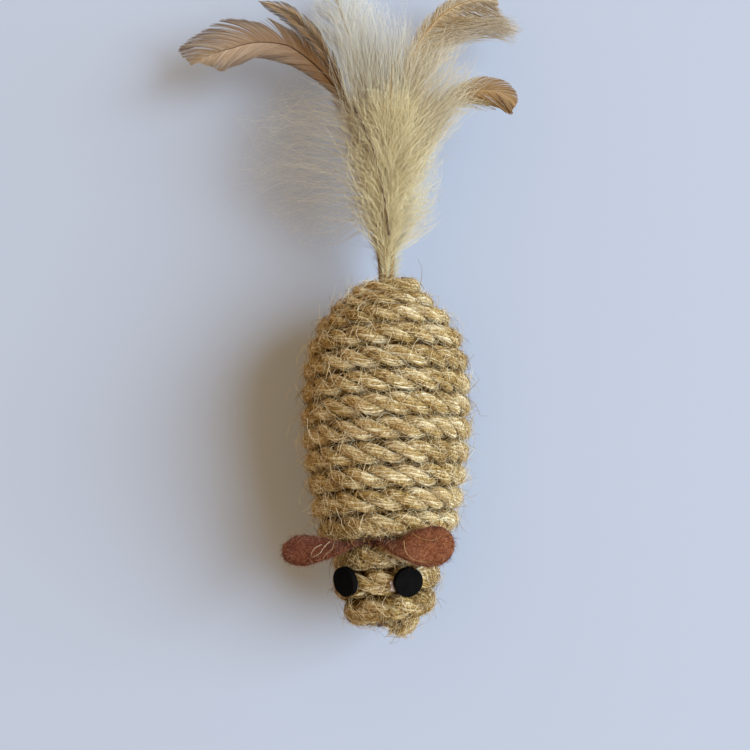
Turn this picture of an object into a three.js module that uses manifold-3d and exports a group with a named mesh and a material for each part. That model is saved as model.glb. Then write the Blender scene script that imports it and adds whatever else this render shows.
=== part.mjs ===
// A rope-wound cat-toy mouse with felt ears, disc eyes and a tail of feathers.
// Millimetres. +Z is up, the nose points to -Y and the feather tail to +Y. Left and right are those
// of a viewer who looks down on the mouse with its nose towards them, so +X is right. The mouse
// lies on its belly on the plane z = 0.
//
// It is built as the real toy is built. A moulded foam core carries one length of rope, wound from
// the tail hole to the nose. A felt strip is trapped in the groove of the neck and its two free
// ends are the ears. Two flat eyes are glued on the head. Six feathers are bound in one bundle
// that stands in the tail hole.

import * as THREE from "three";
import { mergeVertices } from "three/addons/utils/BufferGeometryUtils.js";
import Module from "manifold-3d";

const wasm = await Module();
wasm.setup();

// Driving dimensions of the winding and of the body that it covers
const rope_diameter = 5.3;
const rope_spacing = 5.7;
const head_rope_spacing = 6.1;
const body_radius = 18.4;
const body_rear_length = 29.2;
const body_front_length = 31.5;
const tail_hole_radius = 5.9;
const shoulder_radius = 14.5;
const neck_groove_width = 3;
const head_back_radius = 10.2;
const head_length = 15.7;
const nose_turn_radius = 4.3;

// Driving dimensions of the pieces on it
const fit_clearance = 0.3;
const socket_radius = 2.9;
const socket_depth = 9;
const felt_thickness = 1.2;
const ear_strip_half_length = 20.8;
const ear_strip_shift = 1.3;
const right_ear_back = 0.9;
const ear_half_width = 4.9;
const waist_half_width = 1.7;
const waist_half_length = 4.3;
const eye_diameter = 7.2;
const eye_thickness = 1.6;
const eye_bevel = 0.4;
const glue_film = 0.4;
const quill_radius = 0.5;
const binding_thickness = 0.45;
const binding_length = 0.9;
const binding_clearance = 0.45;
const quill_inner_length = 3.2;
const quill_straight_length = 1.6;
const vane_thickness = 0.9;
const down_thickness = 4;
const strip_bead_radius = 0.6;

// Driving dimensions of the feathers: length past the binding and half widths of the vane
const sickle_length = 110;
const sickle_outer_width = 8.6;
const sickle_inner_width = 6.8;
const striped_length = 91;
const striped_outer_width = 2.6;
const striped_inner_width = 2.2;
const cream_length = 92;
const cream_half_width = 7;
const tan_length = 93;
const tan_outer_width = 3.8;
const tan_inner_width = 10.5;
const golden_length = 71;
const golden_outer_width = 4.2;
const golden_inner_width = 5.4;
const down_length = 58;
const down_left_width = 8.6;
const down_right_width = 9;

// Closer than this, two corners are one, and a search along the outline stops at this share of it
const weld_distance = 1e-4;
const search_share = 1e-7;

// Angles and counts
const steps_per_turn = 24;
const rope_sides = 6;
const start_turn = -0.35;
const nose_phase = 0.78;
const start_lift_angle = 21;
const nose_lift_angle = 20;
const eye_angle = 33;
const eye_tilt_angle = 14;
const left_ear_flatten_angle = 26;
const right_ear_flatten_angle = 44;
const round_sides = 24;
const bead_sides = 8;
const feather_rings = 26;
const feather_sides = 8;
const bend_steps = 20;
const radians = Math.PI / 180;

const rope_radius = rope_diameter / 2;
const belly_cut = rope_diameter / 10;

// Outline shares, chosen by hand: how far along its stretch and how large beside the widest radius
const rump_shares = [[0.93, 0.35], [0.8, 0.565], [0.645, 0.772], [0.465, 0.905], [0.275, 0.977]];
const flank_shares = [[0.287, 0.987], [0.646, 0.91]];
const head_shares = [[0.4, 0.955], [0.79, 0.785]];

// The felt strip, by its distance from its middle as a share of its half length: half its width and
// how far its middle rises out of the groove, both as shares of the ear's half width, and how far
// it has turned flat, as a share of the ear's whole turn
const ear_shares = [
  [0.213, 0.36, 0.47, 0],
  [0.26, 0.4, 0.64, 0.1],
  [0.35, 0.54, 0.84, 0.3],
  [0.48, 0.76, 0.98, 0.65],
  [0.62, 0.93, 1.04, 0.9],
  [0.74, 1.0, 1.02, 1],
  [0.84, 0.95, 1.0, 1],
  [0.91, 0.8, 0.97, 1],
  [0.965, 0.54, 0.94, 1],
  [1, 0.16, 0.92, 1],
];
const waist_rise_share = 0.26;

// Half width of a feather's vane, by its place between the start of the vane and the tip
const hackle_shares = [
  [0, 0], [0.2, 0.1], [0.4, 0.42], [0.6, 0.8], [0.78, 1], [0.9, 0.86], [0.96, 0.55], [1, 0.1],
];
const spoon_shares = [
  [0, 0], [0.3, 0.3], [0.5, 0.6], [0.75, 1], [0.88, 0.95], [0.95, 0.65], [1, 0.12],
];
const paddle_shares = [
  [0, 0], [0.25, 0.3], [0.45, 0.6], [0.68, 0.92], [0.84, 1], [0.94, 0.86], [0.98, 0.6], [1, 0.2],
];
const plume_shares = [
  [0, 0], [0.12, 0.45], [0.3, 0.85], [0.55, 1], [0.78, 0.85], [0.92, 0.5], [1, 0.1],
];

// Other shares: of a turn that rounds up to a whole one, of the turns where the mouse rests, of a
// feather in which it takes up its lean, and of sizes of the pieces that they are named after
const body_rounding_share = 0.02;
const head_rounding_share = 0.2;
const rest_share = 0.62;
const settle_share = 0.125;
const quill_taper_share = 0.6;
const core_nose_share = 0.8;
const eye_glue_share = 0.8;
const nose_glue_shares = { half_width: 0.42, half_height: 0.55, half_length: 0.8, aside: 0.36 };

const material = (colour, roughness, metalness = 0) => new THREE.MeshStandardMaterial({
  color: colour,
  roughness,
  metalness,
  side: THREE.FrontSide,
});

const rope_material = material(0xb39663, 0.95);
const foam_material = material(0xd9d2bf, 0.9);
const felt_material = material(0x7e4630, 0.98);
const eye_material = material(0x0b0b0c, 0.45);
const glue_material = material(0xd8cfae, 0.3);
const thread_material = material(0x8a6d43, 0.85);
const tan_feather_material = material(0xa67848, 0.8);
const cream_feather_material = material(0xd8cdb4, 0.85);
const golden_feather_material = material(0xc0924e, 0.8);
const down_material = material(0xb5a46d, 0.9);

// The line of the rope's centre, seen from the side: x is the distance from the mouse's axis and
// y the place along it, from the tail hole to the nose. y = 0 is at the widest turn.
function winding_outline() {
  const head_back = -body_front_length - Math.sqrt(
    (rope_spacing + neck_groove_width) ** 2 - (shoulder_radius - head_back_radius) ** 2);
  const points = [new THREE.Vector3(tail_hole_radius, body_rear_length, 0)];
  for (const [along, wide] of rump_shares) {
    const radius = Math.max(tail_hole_radius, wide * body_radius);
    points.push(new THREE.Vector3(radius, along * body_rear_length, 0));
  }
  points.push(new THREE.Vector3(body_radius, 0, 0));
  for (const [along, wide] of flank_shares) {
    points.push(new THREE.Vector3(wide * body_radius, -along * body_front_length, 0));
  }
  points.push(new THREE.Vector3(shoulder_radius, -body_front_length, 0));
  points.push(new THREE.Vector3(head_back_radius, head_back, 0));
  for (const [along, wide] of head_shares) {
    points.push(new THREE.Vector3(wide * head_back_radius, head_back - along * head_length, 0));
  }
  points.push(new THREE.Vector3(nose_turn_radius, head_back - head_length, 0));
  const curve = new THREE.CatmullRomCurve3(points, false, "centripetal");
  curve.arcLengthDivisions = 100 * points.length;
  return { curve, head_back };
}

const { curve: outline, head_back: head_back_y } = winding_outline();
const outline_length = outline.getLength();

// Distance along the outline at which it passes a given place along the axis
function distance_at(along) {
  let low = 0;
  let high = 1;
  while (high - low > search_share) {
    const middle = (low + high) / 2;
    if (outline.getPointAt(middle).y > along) low = middle;
    else high = middle;
  }
  return low * outline_length;
}

// Whole turns lie between the top of the tail and the shoulder, so the groove is on top
const shoulder_distance = distance_at(-body_front_length);
const head_distance = distance_at(head_back_y);
const shoulder_turn = Math.floor(shoulder_distance / rope_spacing + start_turn + body_rounding_share);
const body_pitch = shoulder_distance / (shoulder_turn - start_turn);
const nose_run = outline_length - head_distance;
const whole_head_turns = Math.floor(nose_run / head_rope_spacing - nose_phase + head_rounding_share);
const head_turns = Math.max(1, whole_head_turns) + nose_phase;
const head_pitch = nose_run / head_turns;
const end_turn = shoulder_turn + 1 + head_turns;

function distance_of_turn(turn) {
  if (turn <= shoulder_turn) return body_pitch * (turn - start_turn);
  if (turn >= shoulder_turn + 1) return head_distance + head_pitch * (turn - shoulder_turn - 1);
  const share = turn - shoulder_turn;
  return shoulder_distance + share * (head_distance - shoulder_distance);
}

// Place and outward direction on the winding's surface of revolution, for a place and a turn angle
function on_outline(distance, turn) {
  const share = Math.min(1, Math.max(0, distance / outline_length));
  const point = outline.getPointAt(share);
  const along = outline.getTangentAt(share);
  const angle = -2 * Math.PI * turn;
  const around = new THREE.Vector3(Math.sin(angle), 0, Math.cos(angle));
  const centre = around.clone().multiplyScalar(point.x);
  centre.y = point.y;
  const outward = around.multiplyScalar(-along.y);
  outward.y = along.x;
  return { centre, outward };
}

const rope_point = (turn) => on_outline(distance_of_turn(turn), turn);

// A closed skin over rings that all have as many points, with a flat cap at each end
function skin(rings) {
  const count = rings[0].length;
  const positions = [];
  const indices = [];
  for (const ring of rings) {
    for (const point of ring) positions.push(point.x, point.y, point.z);
  }
  for (let row = 0; row + 1 < rings.length; row += 1) {
    for (let side = 0; side < count; side += 1) {
      const next = (side + 1) % count;
      const a = row * count + side;
      const b = row * count + next;
      const c = a + count;
      const d = b + count;
      indices.push(a, b, d);
      indices.push(a, d, c);
    }
  }
  const last = (rings.length - 1) * count;
  for (let side = 1; side + 1 < count; side += 1) {
    indices.push(0, side + 1, side);
    indices.push(last, last + side, last + side + 1);
  }
  const geometry = new THREE.BufferGeometry();
  geometry.setAttribute("position", new THREE.Float32BufferAttribute(positions, 3));
  geometry.setIndex(indices);
  return facing_out(geometry);
}

function signed_volume(geometry) {
  const position = geometry.getAttribute("position");
  const index = geometry.getIndex();
  const corner = [new THREE.Vector3(), new THREE.Vector3(), new THREE.Vector3()];
  let total = 0;
  for (let start = 0; start < index.count; start += 3) {
    corner.forEach((point, which) => point.fromBufferAttribute(position, index.getX(start + which)));
    total += corner[0].dot(corner[1].clone().cross(corner[2]));
  }
  return total;
}

function facing_out(geometry) {
  if (signed_volume(geometry) > 0) return geometry;
  const index = geometry.getIndex();
  for (let start = 0; start < index.count; start += 3) {
    const kept = index.getX(start + 1);
    index.setX(start + 1, index.getX(start + 2));
    index.setX(start + 2, kept);
  }
  return geometry;
}

function to_solid(geometry) {
  const bare = geometry.clone();
  bare.deleteAttribute("normal");
  bare.deleteAttribute("uv");
  const merged = mergeVertices(bare, weld_distance);
  return new wasm.Manifold(new wasm.Mesh({
    numProp: 3,
    vertProperties: new Float32Array(merged.getAttribute("position").array),
    triVerts: new Uint32Array(merged.getIndex().array),
  }));
}

function to_geometry(solid) {
  const mesh = solid.getMesh();
  const geometry = new THREE.BufferGeometry();
  geometry.setAttribute("position", new THREE.Float32BufferAttribute(mesh.vertProperties, 3));
  geometry.setIndex([...mesh.triVerts]);
  return geometry;
}

// The rope. Each ring is square to the rope and has one corner pointing straight out of the body.
function rope_rings() {
  const path = [];
  const count = Math.round((end_turn - start_turn) * steps_per_turn);
  for (let step = 0; step <= count; step += 1) {
    const turn = start_turn + (end_turn - start_turn) * step / count;
    path.push({ turn, ...rope_point(turn) });
  }
  // Both cut ends run straight for one rope diameter and lift clear of the turn beside them
  const first = path[0];
  const last = path[path.length - 1];
  const lifted_end = (from, beside, lift) => {
    const heading = from.centre.clone().sub(beside.centre);
    heading.y = 0;
    heading.normalize();
    const radial = new THREE.Vector3(from.centre.x, 0, from.centre.z).normalize();
    heading.addScaledVector(radial, -heading.dot(radial)).normalize();
    heading.multiplyScalar(Math.cos(lift * radians));
    heading.y = Math.sin(lift * radians) * Math.sign(from.centre.y);
    const centre = from.centre.clone().addScaledVector(heading, rope_diameter);
    return { turn: from.turn, centre, outward: from.outward };
  };
  path.unshift(lifted_end(first, path[1], start_lift_angle));
  path.push(lifted_end(last, path[path.length - 2], nose_lift_angle));

  const rings = path.map((place, step) => {
    const before = path[Math.max(0, step - 1)].centre;
    const after = path[Math.min(path.length - 1, step + 1)].centre;
    const along = after.clone().sub(before).normalize();
    const across = along.clone().cross(place.outward).normalize();
    const outward = across.clone().cross(along);
    const ring = [];
    for (let side = 0; side < rope_sides; side += 1) {
      const angle = 2 * Math.PI * side / rope_sides;
      ring.push(place.centre.clone()
        .addScaledVector(outward, rope_radius * Math.cos(angle))
        .addScaledVector(across, rope_radius * Math.sin(angle)));
    }
    return ring;
  });
  return { path, rings };
}

const rope = rope_rings();

// The least gap from the rope to itself: from each corner of a ring to the rings that are more
// than half a turn away
function least_rope_gap() {
  const apart = Math.round(steps_per_turn / 2);
  let least = Infinity;
  for (let one = 0; one < rope.rings.length; one += 1) {
    for (let other = one + apart; other < rope.rings.length; other += 1) {
      const centres = rope.path[one].centre.distanceTo(rope.path[other].centre);
      if (centres > 2 * rope_diameter) continue;
      for (const point of rope.rings[one]) {
        for (const facing of rope.rings[other]) least = Math.min(least, point.distanceTo(facing));
      }
    }
  }
  return least;
}

let lowest_rope = 0;
for (const ring of rope.rings) {
  for (const point of ring) lowest_rope = Math.min(lowest_rope, point.z);
}
const axis_height = -lowest_rope - belly_cut;

// The turn whose flat carries the mouse nearest to its balance point
const rest_turn = Math.floor(shoulder_turn * rest_share) + 0.5;
const rest_place = rope_point(rest_turn);
const rest_along = rest_place.centre.y + rope_radius * rest_place.outward.y;

function rope_geometry() {
  const overrun = rope_diameter;
  const size = 4 * (body_rear_length + body_front_length + head_length);
  const floor_block = new THREE.BoxGeometry(size, size, overrun);
  floor_block.translate(0, 0, -axis_height - overrun / 2);
  return to_geometry(to_solid(skin(rope.rings)).subtract(to_solid(floor_block)));
}

function cylinder_along_y(radius, from, to) {
  const geometry = new THREE.CylinderGeometry(radius, radius, to - from, round_sides);
  geometry.translate(0, (from + to) / 2, 0);
  return geometry;
}

// The foam core lies inside the winding by the rope's radius and a clearance
const pivot_y = body_rear_length - rope_radius / 3;
const core_tail_y = pivot_y - quill_inner_length - 2.5 * fit_clearance;
const core_inset = rope_radius + 1.5 * fit_clearance;
const core_nose_y = head_back_y - head_length + core_inset;

function core_geometry() {
  const samples = 30;
  const profile = [];
  for (let sample = 0; sample <= samples; sample += 1) {
    const { centre, outward } = on_outline(outline_length * sample / samples, 0);
    const radius = centre.z - core_inset * outward.z;
    const along = centre.y - core_inset * outward.y;
    if (along < core_tail_y && along > core_nose_y && radius > 0) {
      profile.push(new THREE.Vector2(radius, along));
    }
  }
  const first = profile[0];
  const last = profile[profile.length - 1];
  profile.unshift(new THREE.Vector2(first.x, core_tail_y));
  profile.unshift(new THREE.Vector2(0, core_tail_y));
  profile.push(new THREE.Vector2(last.x * core_nose_share, core_nose_y));
  profile.push(new THREE.Vector2(0, core_nose_y));
  const body = facing_out(mergeVertices(bare_lathe(profile), weld_distance));
  const socket = cylinder_along_y(socket_radius, core_tail_y - socket_depth, core_tail_y + rope_diameter);
  return to_geometry(to_solid(body).subtract(to_solid(socket)));
}

function bare_lathe(profile) {
  const geometry = new THREE.LatheGeometry(profile, 1.5 * round_sides);
  geometry.deleteAttribute("normal");
  geometry.deleteAttribute("uv");
  return without_slivers(geometry);
}

// A lathe profile that starts on the axis leaves triangles with two corners in one place
function without_slivers(geometry) {
  const merged = mergeVertices(geometry, weld_distance);
  const index = merged.getIndex();
  const kept = [];
  for (let start = 0; start < index.count; start += 3) {
    const [a, b, c] = [index.getX(start), index.getX(start + 1), index.getX(start + 2)];
    if (a !== b && b !== c && c !== a) kept.push(a, b, c);
  }
  merged.setIndex(kept);
  return merged;
}

// The groove of the neck, on top: its middle, the way up out of it and the way back across it
const shoulder_top = rope_point(shoulder_turn).centre;
const head_top = rope_point(shoulder_turn + 1).centre;
const groove_middle = shoulder_top.clone().add(head_top).multiplyScalar(0.5);
const groove_back = shoulder_top.clone().sub(head_top).normalize();
const groove_up = new THREE.Vector3(1, 0, 0).cross(groove_back).normalize();
const groove_tilt = Math.atan2(groove_up.z, -groove_up.y);

// A section of the felt strip: a rectangle square to X at a place along it
function felt_ring(x, half_width, rise, tilt, back) {
  const across = new THREE.Vector3(0, -Math.cos(tilt), Math.sin(tilt));
  const through = new THREE.Vector3(0, Math.sin(tilt), Math.cos(tilt));
  const middle = groove_middle.clone().addScaledVector(groove_up, rise);
  middle.x = x;
  middle.y += back;
  const corner = (over, out) => middle.clone()
    .addScaledVector(across, over * half_width)
    .addScaledVector(through, out * felt_thickness / 2);
  return [corner(-1, -1), corner(1, -1), corner(1, 1), corner(-1, 1)];
}

const waist_rise = ear_half_width * waist_rise_share;
const root_rise = ear_half_width * ear_shares[0][2];
const ear_root = waist_half_length + 1.4 * fit_clearance;

function waist_geometry() {
  const ring_at = (x, rise) => felt_ring(x - ear_strip_shift, waist_half_width, rise, groove_tilt, 0);
  return skin([
    ring_at(-waist_half_length, root_rise),
    ring_at(-waist_half_length / 2, waist_rise),
    ring_at(waist_half_length / 2, waist_rise),
    ring_at(waist_half_length, root_rise),
  ]);
}

function ear_geometry(side) {
  const flatten = (side > 0 ? right_ear_flatten_angle : left_ear_flatten_angle) * radians;
  const back = side > 0 ? right_ear_back : 0;
  const rings = ear_shares.map(([along, wide, rise, turned], row) => {
    const out = row === 0 ? ear_root : along * ear_strip_half_length;
    return felt_ring(side * out - ear_strip_shift, wide * ear_half_width, rise * ear_half_width,
      groove_tilt - turned * flatten, turned * back);
  });
  return skin(rings);
}

// A bead of glue under the strip, in the bottom of the groove
function strip_glue_geometry() {
  const bead = new THREE.CapsuleGeometry(strip_bead_radius, waist_half_length, bead_sides / 2, bead_sides);
  bead.rotateZ(Math.PI / 2);
  const depth = waist_half_width - waist_rise + fit_clearance + strip_bead_radius;
  const place = groove_middle.clone().addScaledVector(groove_up, -depth);
  bead.translate(place.x - ear_strip_shift, place.y, place.z);
  return facing_out(without_slivers(strip_attributes(bead)));
}

function strip_attributes(geometry) {
  geometry.deleteAttribute("normal");
  geometry.deleteAttribute("uv");
  return geometry;
}

// The eyes are flat discs with a bevelled rim, on a film of glue on the rope of the head
const eye_turn = shoulder_turn + 2;
const eye_seat = on_outline(distance_of_turn(eye_turn), eye_turn).centre;

function eye_profile() {
  const radius = eye_diameter / 2;
  return [
    new THREE.Vector2(0, 0),
    new THREE.Vector2(radius - eye_bevel / 2, 0),
    new THREE.Vector2(radius, eye_bevel),
    new THREE.Vector2(radius, eye_thickness - eye_bevel),
    new THREE.Vector2(radius - eye_bevel, eye_thickness),
    new THREE.Vector2(0, eye_thickness),
  ];
}

function glue_profile() {
  const radius = eye_glue_share * eye_diameter / 2;
  return [
    new THREE.Vector2(0, 0),
    new THREE.Vector2(radius, 0),
    new THREE.Vector2(radius, glue_film),
    new THREE.Vector2(0, glue_film),
  ];
}

// Turns a disc that stands on the plane y = 0 so that it lies on the head, at a height above it,
// tilted towards the nose as the head slopes there
function on_head(profile, side, height) {
  const geometry = facing_out(bare_lathe(profile));
  geometry.rotateX(Math.PI / 2);
  geometry.translate(0, 0, height);
  geometry.rotateX(eye_tilt_angle * radians);
  geometry.translate(0, 0, eye_seat.z + rope_radius);
  geometry.rotateY(side * eye_angle * radians);
  geometry.translate(0, eye_seat.y, 0);
  return geometry;
}

// The tail: quills in a ring round the pivot, bound by thread, over a plug of glue in the core
const seat_circle = 2 * quill_radius + 2 * fit_clearance;
const bundle_radius = seat_circle + quill_radius;
const binding_inner = bundle_radius + binding_clearance;

function binding_geometry() {
  const outer = binding_inner + binding_thickness;
  const half = binding_length / 2;
  const profile = [
    new THREE.Vector2(binding_inner, -half),
    new THREE.Vector2(outer, -half),
    new THREE.Vector2(outer, half),
    new THREE.Vector2(binding_inner, half),
    new THREE.Vector2(binding_inner, -half),
  ];
  const ring = new THREE.LatheGeometry(profile, round_sides);
  return facing_out(without_slivers(strip_attributes(ring)));
}

function plug_geometry() {
  const top = core_tail_y - fit_clearance / 3;
  return cylinder_along_y(socket_radius - fit_clearance, core_tail_y - socket_depth + fit_clearance, top);
}

// Feathers. Each quill stands in its seat, runs straight through the binding and then turns
// sideways by its bend and up by its rise.
const feathers = {
  feather_sickle: {
    length: sickle_length, left: sickle_outer_width, right: sickle_inner_width,
    seat: 210, bend: -112, power: 2.25, lean: -6, rise: -1.5,
    vane_from_share: 0.42, shares: paddle_shares, thickness: vane_thickness, paint: tan_feather_material,
  },
  feather_striped: {
    length: striped_length, left: striped_outer_width, right: striped_inner_width,
    seat: 150, bend: -65, power: 3.8, lean: -10, rise: 1,
    vane_from_share: 0.35, shares: hackle_shares, thickness: vane_thickness, paint: tan_feather_material,
  },
  feather_cream: {
    length: cream_length, left: cream_half_width, right: cream_half_width,
    seat: 270, bend: -16, power: 4, lean: -9, rise: -6,
    vane_from_share: 0.45, shares: spoon_shares, thickness: vane_thickness, paint: cream_feather_material,
  },
  feather_tan: {
    length: tan_length, left: tan_outer_width, right: tan_inner_width,
    seat: 330, bend: 115, power: 4.5, lean: 1, rise: -2.5,
    vane_from_share: 0.4, shares: spoon_shares, thickness: vane_thickness, paint: tan_feather_material,
  },
  feather_golden_tip: {
    length: golden_length, left: golden_outer_width, right: golden_inner_width,
    seat: 30, bend: 145, power: 3.2, lean: 6.5, rise: 3,
    vane_from_share: 0.3, shares: spoon_shares, thickness: vane_thickness, paint: golden_feather_material,
  },
  down_plume: {
    length: down_length, left: down_left_width, right: down_right_width,
    seat: 90, bend: 0, power: 1.5, lean: 5, rise: 14,
    vane_from_share: 0.1, shares: plume_shares, thickness: down_thickness, paint: down_material,
  },
};

function share_at(shares, place) {
  if (place <= shares[0][0]) return shares[0][1];
  for (let row = 1; row < shares.length; row += 1) {
    const [end, value] = shares[row];
    const [begin, earlier] = shares[row - 1];
    if (place <= end) return earlier + (value - earlier) * (place - begin) / (end - begin);
  }
  return shares[shares.length - 1][1];
}

function feather_geometry(feather) {
  const seat = feather.seat * radians;
  const place = new THREE.Vector3(
    seat_circle * Math.cos(seat), -quill_inner_length, seat_circle * Math.sin(seat));
  const rings = [];
  const add_ring = (at, heading, climb, left, right, half_thickness) => {
    const side = new THREE.Vector3(Math.cos(heading), -Math.sin(heading), 0);
    const along = new THREE.Vector3(
      Math.sin(heading) * Math.cos(climb), Math.cos(heading) * Math.cos(climb), Math.sin(climb));
    const up = side.clone().cross(along).normalize();
    const ring = [];
    for (let point = 0; point < feather_sides; point += 1) {
      const angle = 2 * Math.PI * point / feather_sides;
      const reach = Math.cos(angle) > 0 ? right : left;
      ring.push(at.clone()
        .addScaledVector(side, reach * Math.cos(angle))
        .addScaledVector(up, half_thickness * Math.sin(angle)));
    }
    rings.push(ring);
  };
  add_ring(place, 0, 0, quill_radius, quill_radius, quill_radius);
  place.y = quill_straight_length;
  add_ring(place, 0, 0, quill_radius, quill_radius, quill_radius);
  for (let row = 1; row <= feather_rings; row += 1) {
    let heading = 0;
    let climb = 0;
    for (let part = 1; part <= bend_steps; part += 1) {
      const share = (row - 1 + part / bend_steps) / feather_rings;
      const settle = Math.min(1, share / settle_share);
      heading = (settle * feather.lean + feather.bend * share ** feather.power) * radians;
      climb = settle * feather.rise * radians;
      const piece = feather.length / feather_rings / bend_steps;
      place.x += piece * Math.sin(heading) * Math.cos(climb);
      place.y += piece * Math.cos(heading) * Math.cos(climb);
      place.z += piece * Math.sin(climb);
    }
    const along = row / feather_rings;
    const vane = share_at(feather.shares, (along - feather.vane_from_share) / (1 - feather.vane_from_share));
    const stem = quill_radius * (1 - quill_taper_share * along);
    const half = Math.min(feather.thickness / 2, stem + vane * feather.thickness);
    add_ring(place, heading, climb, stem + vane * feather.left, stem + vane * feather.right, half);
  }
  return skin(rings);
}

// The plug of glue in the nose, between the last turns and the end of the core
function nose_glue_geometry() {
  const bead = new THREE.SphereGeometry(1, 2 * bead_sides, bead_sides);
  const half_length = nose_glue_shares.half_length * rope_radius;
  const half_width = nose_glue_shares.half_width * nose_turn_radius;
  const half_height = nose_glue_shares.half_height * nose_turn_radius;
  bead.scale(half_width, half_length, half_height);
  const aside = nose_glue_shares.aside * nose_turn_radius;
  bead.translate(-aside, core_nose_y - half_length - fit_clearance, 0);
  return facing_out(without_slivers(strip_attributes(bead)));
}

function add_mesh(group, name, geometry, paint, place = new THREE.Vector3()) {
  const mesh = new THREE.Mesh(geometry, paint);
  mesh.name = name;
  mesh.position.copy(place);
  group.add(mesh);
}

const mouse = new THREE.Group();
mouse.position.set(0, -rest_along, axis_height);

add_mesh(mouse, "foam_core", core_geometry(), foam_material);
add_mesh(mouse, "rope_winding", rope_geometry(), rope_material);
add_mesh(mouse, "ear_strip_waist", waist_geometry(), felt_material);
add_mesh(mouse, "ear_strip_glue", strip_glue_geometry(), glue_material);
add_mesh(mouse, "left_ear", ear_geometry(-1), felt_material);
add_mesh(mouse, "right_ear", ear_geometry(1), felt_material);
for (const [name, side] of [["left", -1], ["right", 1]]) {
  add_mesh(mouse, `${name}_eye_glue`, on_head(glue_profile(), side, fit_clearance), glue_material);
  const height = 2 * fit_clearance + glue_film;
  add_mesh(mouse, `${name}_eye`, on_head(eye_profile(), side, height), eye_material);
}
add_mesh(mouse, "nose_glue", nose_glue_geometry(), glue_material);
add_mesh(mouse, "tail_glue_plug", plug_geometry(), glue_material);

const tail = new THREE.Group();
tail.position.set(0, pivot_y, 0);
mouse.add(tail);
add_mesh(tail, "quill_binding", binding_geometry(), thread_material);
for (const [name, feather] of Object.entries(feathers)) {
  add_mesh(tail, name, feather_geometry(feather), feather.paint);
}

console.log("least gap of the rope to itself", least_rope_gap().toFixed(3), "mm");
console.log("turns", (end_turn - start_turn).toFixed(2), "axis height", axis_height.toFixed(3));

const toy = new THREE.Group();
toy.add(mouse);
export default toy;
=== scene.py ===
# %% [markdown]
# # A rope-wound toy mouse
#
# The real toy is a small foam body wound with twisted plant-fibre rope. A strip of felt is trapped
# in the groove of its neck, two flat black eyes are glued on its head, and a bundle of feathers
# stands in its tail. This script dresses the toy's solid model, piece by piece, in Blender.
#
# The solid model is loaded first and is never changed. Each dressed piece lies where its solid
# lies, and all but the felt halves and their fuzz ride on the same moving body.

# %% Load the solid model
import bmesh
import bpy
import math
import numpy as np
from mathutils import Euler, Matrix, Vector, noise
from mathutils.bvhtree import BVHTree


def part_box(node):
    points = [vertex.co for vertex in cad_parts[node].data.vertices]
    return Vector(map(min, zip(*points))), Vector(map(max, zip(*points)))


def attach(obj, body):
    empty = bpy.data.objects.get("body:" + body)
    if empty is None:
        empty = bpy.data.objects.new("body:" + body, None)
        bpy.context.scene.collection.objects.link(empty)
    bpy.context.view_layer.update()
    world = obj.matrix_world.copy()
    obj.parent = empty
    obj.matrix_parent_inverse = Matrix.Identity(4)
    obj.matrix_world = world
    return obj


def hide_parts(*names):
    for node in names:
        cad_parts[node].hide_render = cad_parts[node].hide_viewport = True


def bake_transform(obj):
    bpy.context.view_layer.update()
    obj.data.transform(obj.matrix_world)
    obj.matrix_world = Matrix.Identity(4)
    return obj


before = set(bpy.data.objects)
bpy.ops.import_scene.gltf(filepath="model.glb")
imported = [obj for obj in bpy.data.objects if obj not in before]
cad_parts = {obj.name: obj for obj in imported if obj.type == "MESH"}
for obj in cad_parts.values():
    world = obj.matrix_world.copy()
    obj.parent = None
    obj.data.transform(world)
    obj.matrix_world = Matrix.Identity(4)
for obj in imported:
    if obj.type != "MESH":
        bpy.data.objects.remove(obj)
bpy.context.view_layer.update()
mm = 0.001


# %% New objects
def placed(name, data):
    """A new object in the scene. It stands at the origin, and its place is in its mesh."""
    piece = bpy.data.objects.new(name, data)
    bpy.context.scene.collection.objects.link(piece)
    return piece


# %% [markdown]
# ## The camera
#
# The toy was photographed from almost straight above, by hand, with the camera a little to the
# right and a little towards the nose. The camera looks at the middle of the toy from 30 cm. Its
# frame is shifted slightly, because the toy doesn't lie in the middle of the picture.

# %% Place the camera
# the leans are radians
camera_lean_right = 0.20
camera_lean_nose = 0.14
camera_distance = 300 * mm
camera_target = Vector((0, 9, 20.4)) * mm
picture_width = 750
focal_pixels = 1175
target_pixel = (386.5, 390)

towards_camera = Vector((
    math.sin(camera_lean_right),
    -math.sin(camera_lean_nose) * math.cos(camera_lean_right),
    math.cos(camera_lean_nose) * math.cos(camera_lean_right)))
lens = bpy.data.cameras.new("camera")
lens.sensor_width = 36  # millimetres
lens.lens = lens.sensor_width * focal_pixels / picture_width
lens.shift_x = (picture_width / 2 - target_pixel[0]) / picture_width
lens.shift_y = (target_pixel[1] - picture_width / 2) / picture_width
lens.clip_start = 0.01
camera = placed("camera", lens)
camera_place = camera_target + camera_distance * towards_camera
camera_right = (-towards_camera).cross(Vector((0, 1, 0))).normalized()
camera_up = camera_right.cross(-towards_camera)
camera.matrix_world = Matrix.Translation(camera_place) @ Matrix(
    (camera_right, camera_up, towards_camera)).transposed().to_4x4()
bpy.context.scene.camera = camera
print("lens", round(lens.lens, 2), "mm")

# %% [markdown]
# ## Writing node trees as arithmetic
#
# Most of this toy is something repeated: strands, yarns, stray fibres, the barbs of a feather. All
# of those are made with Geometry Nodes. Placing every node by hand would hide the idea behind the
# plumbing, so two small classes let a tree be written as sums and products. The same classes
# write the materials, since those are node trees too.

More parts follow.
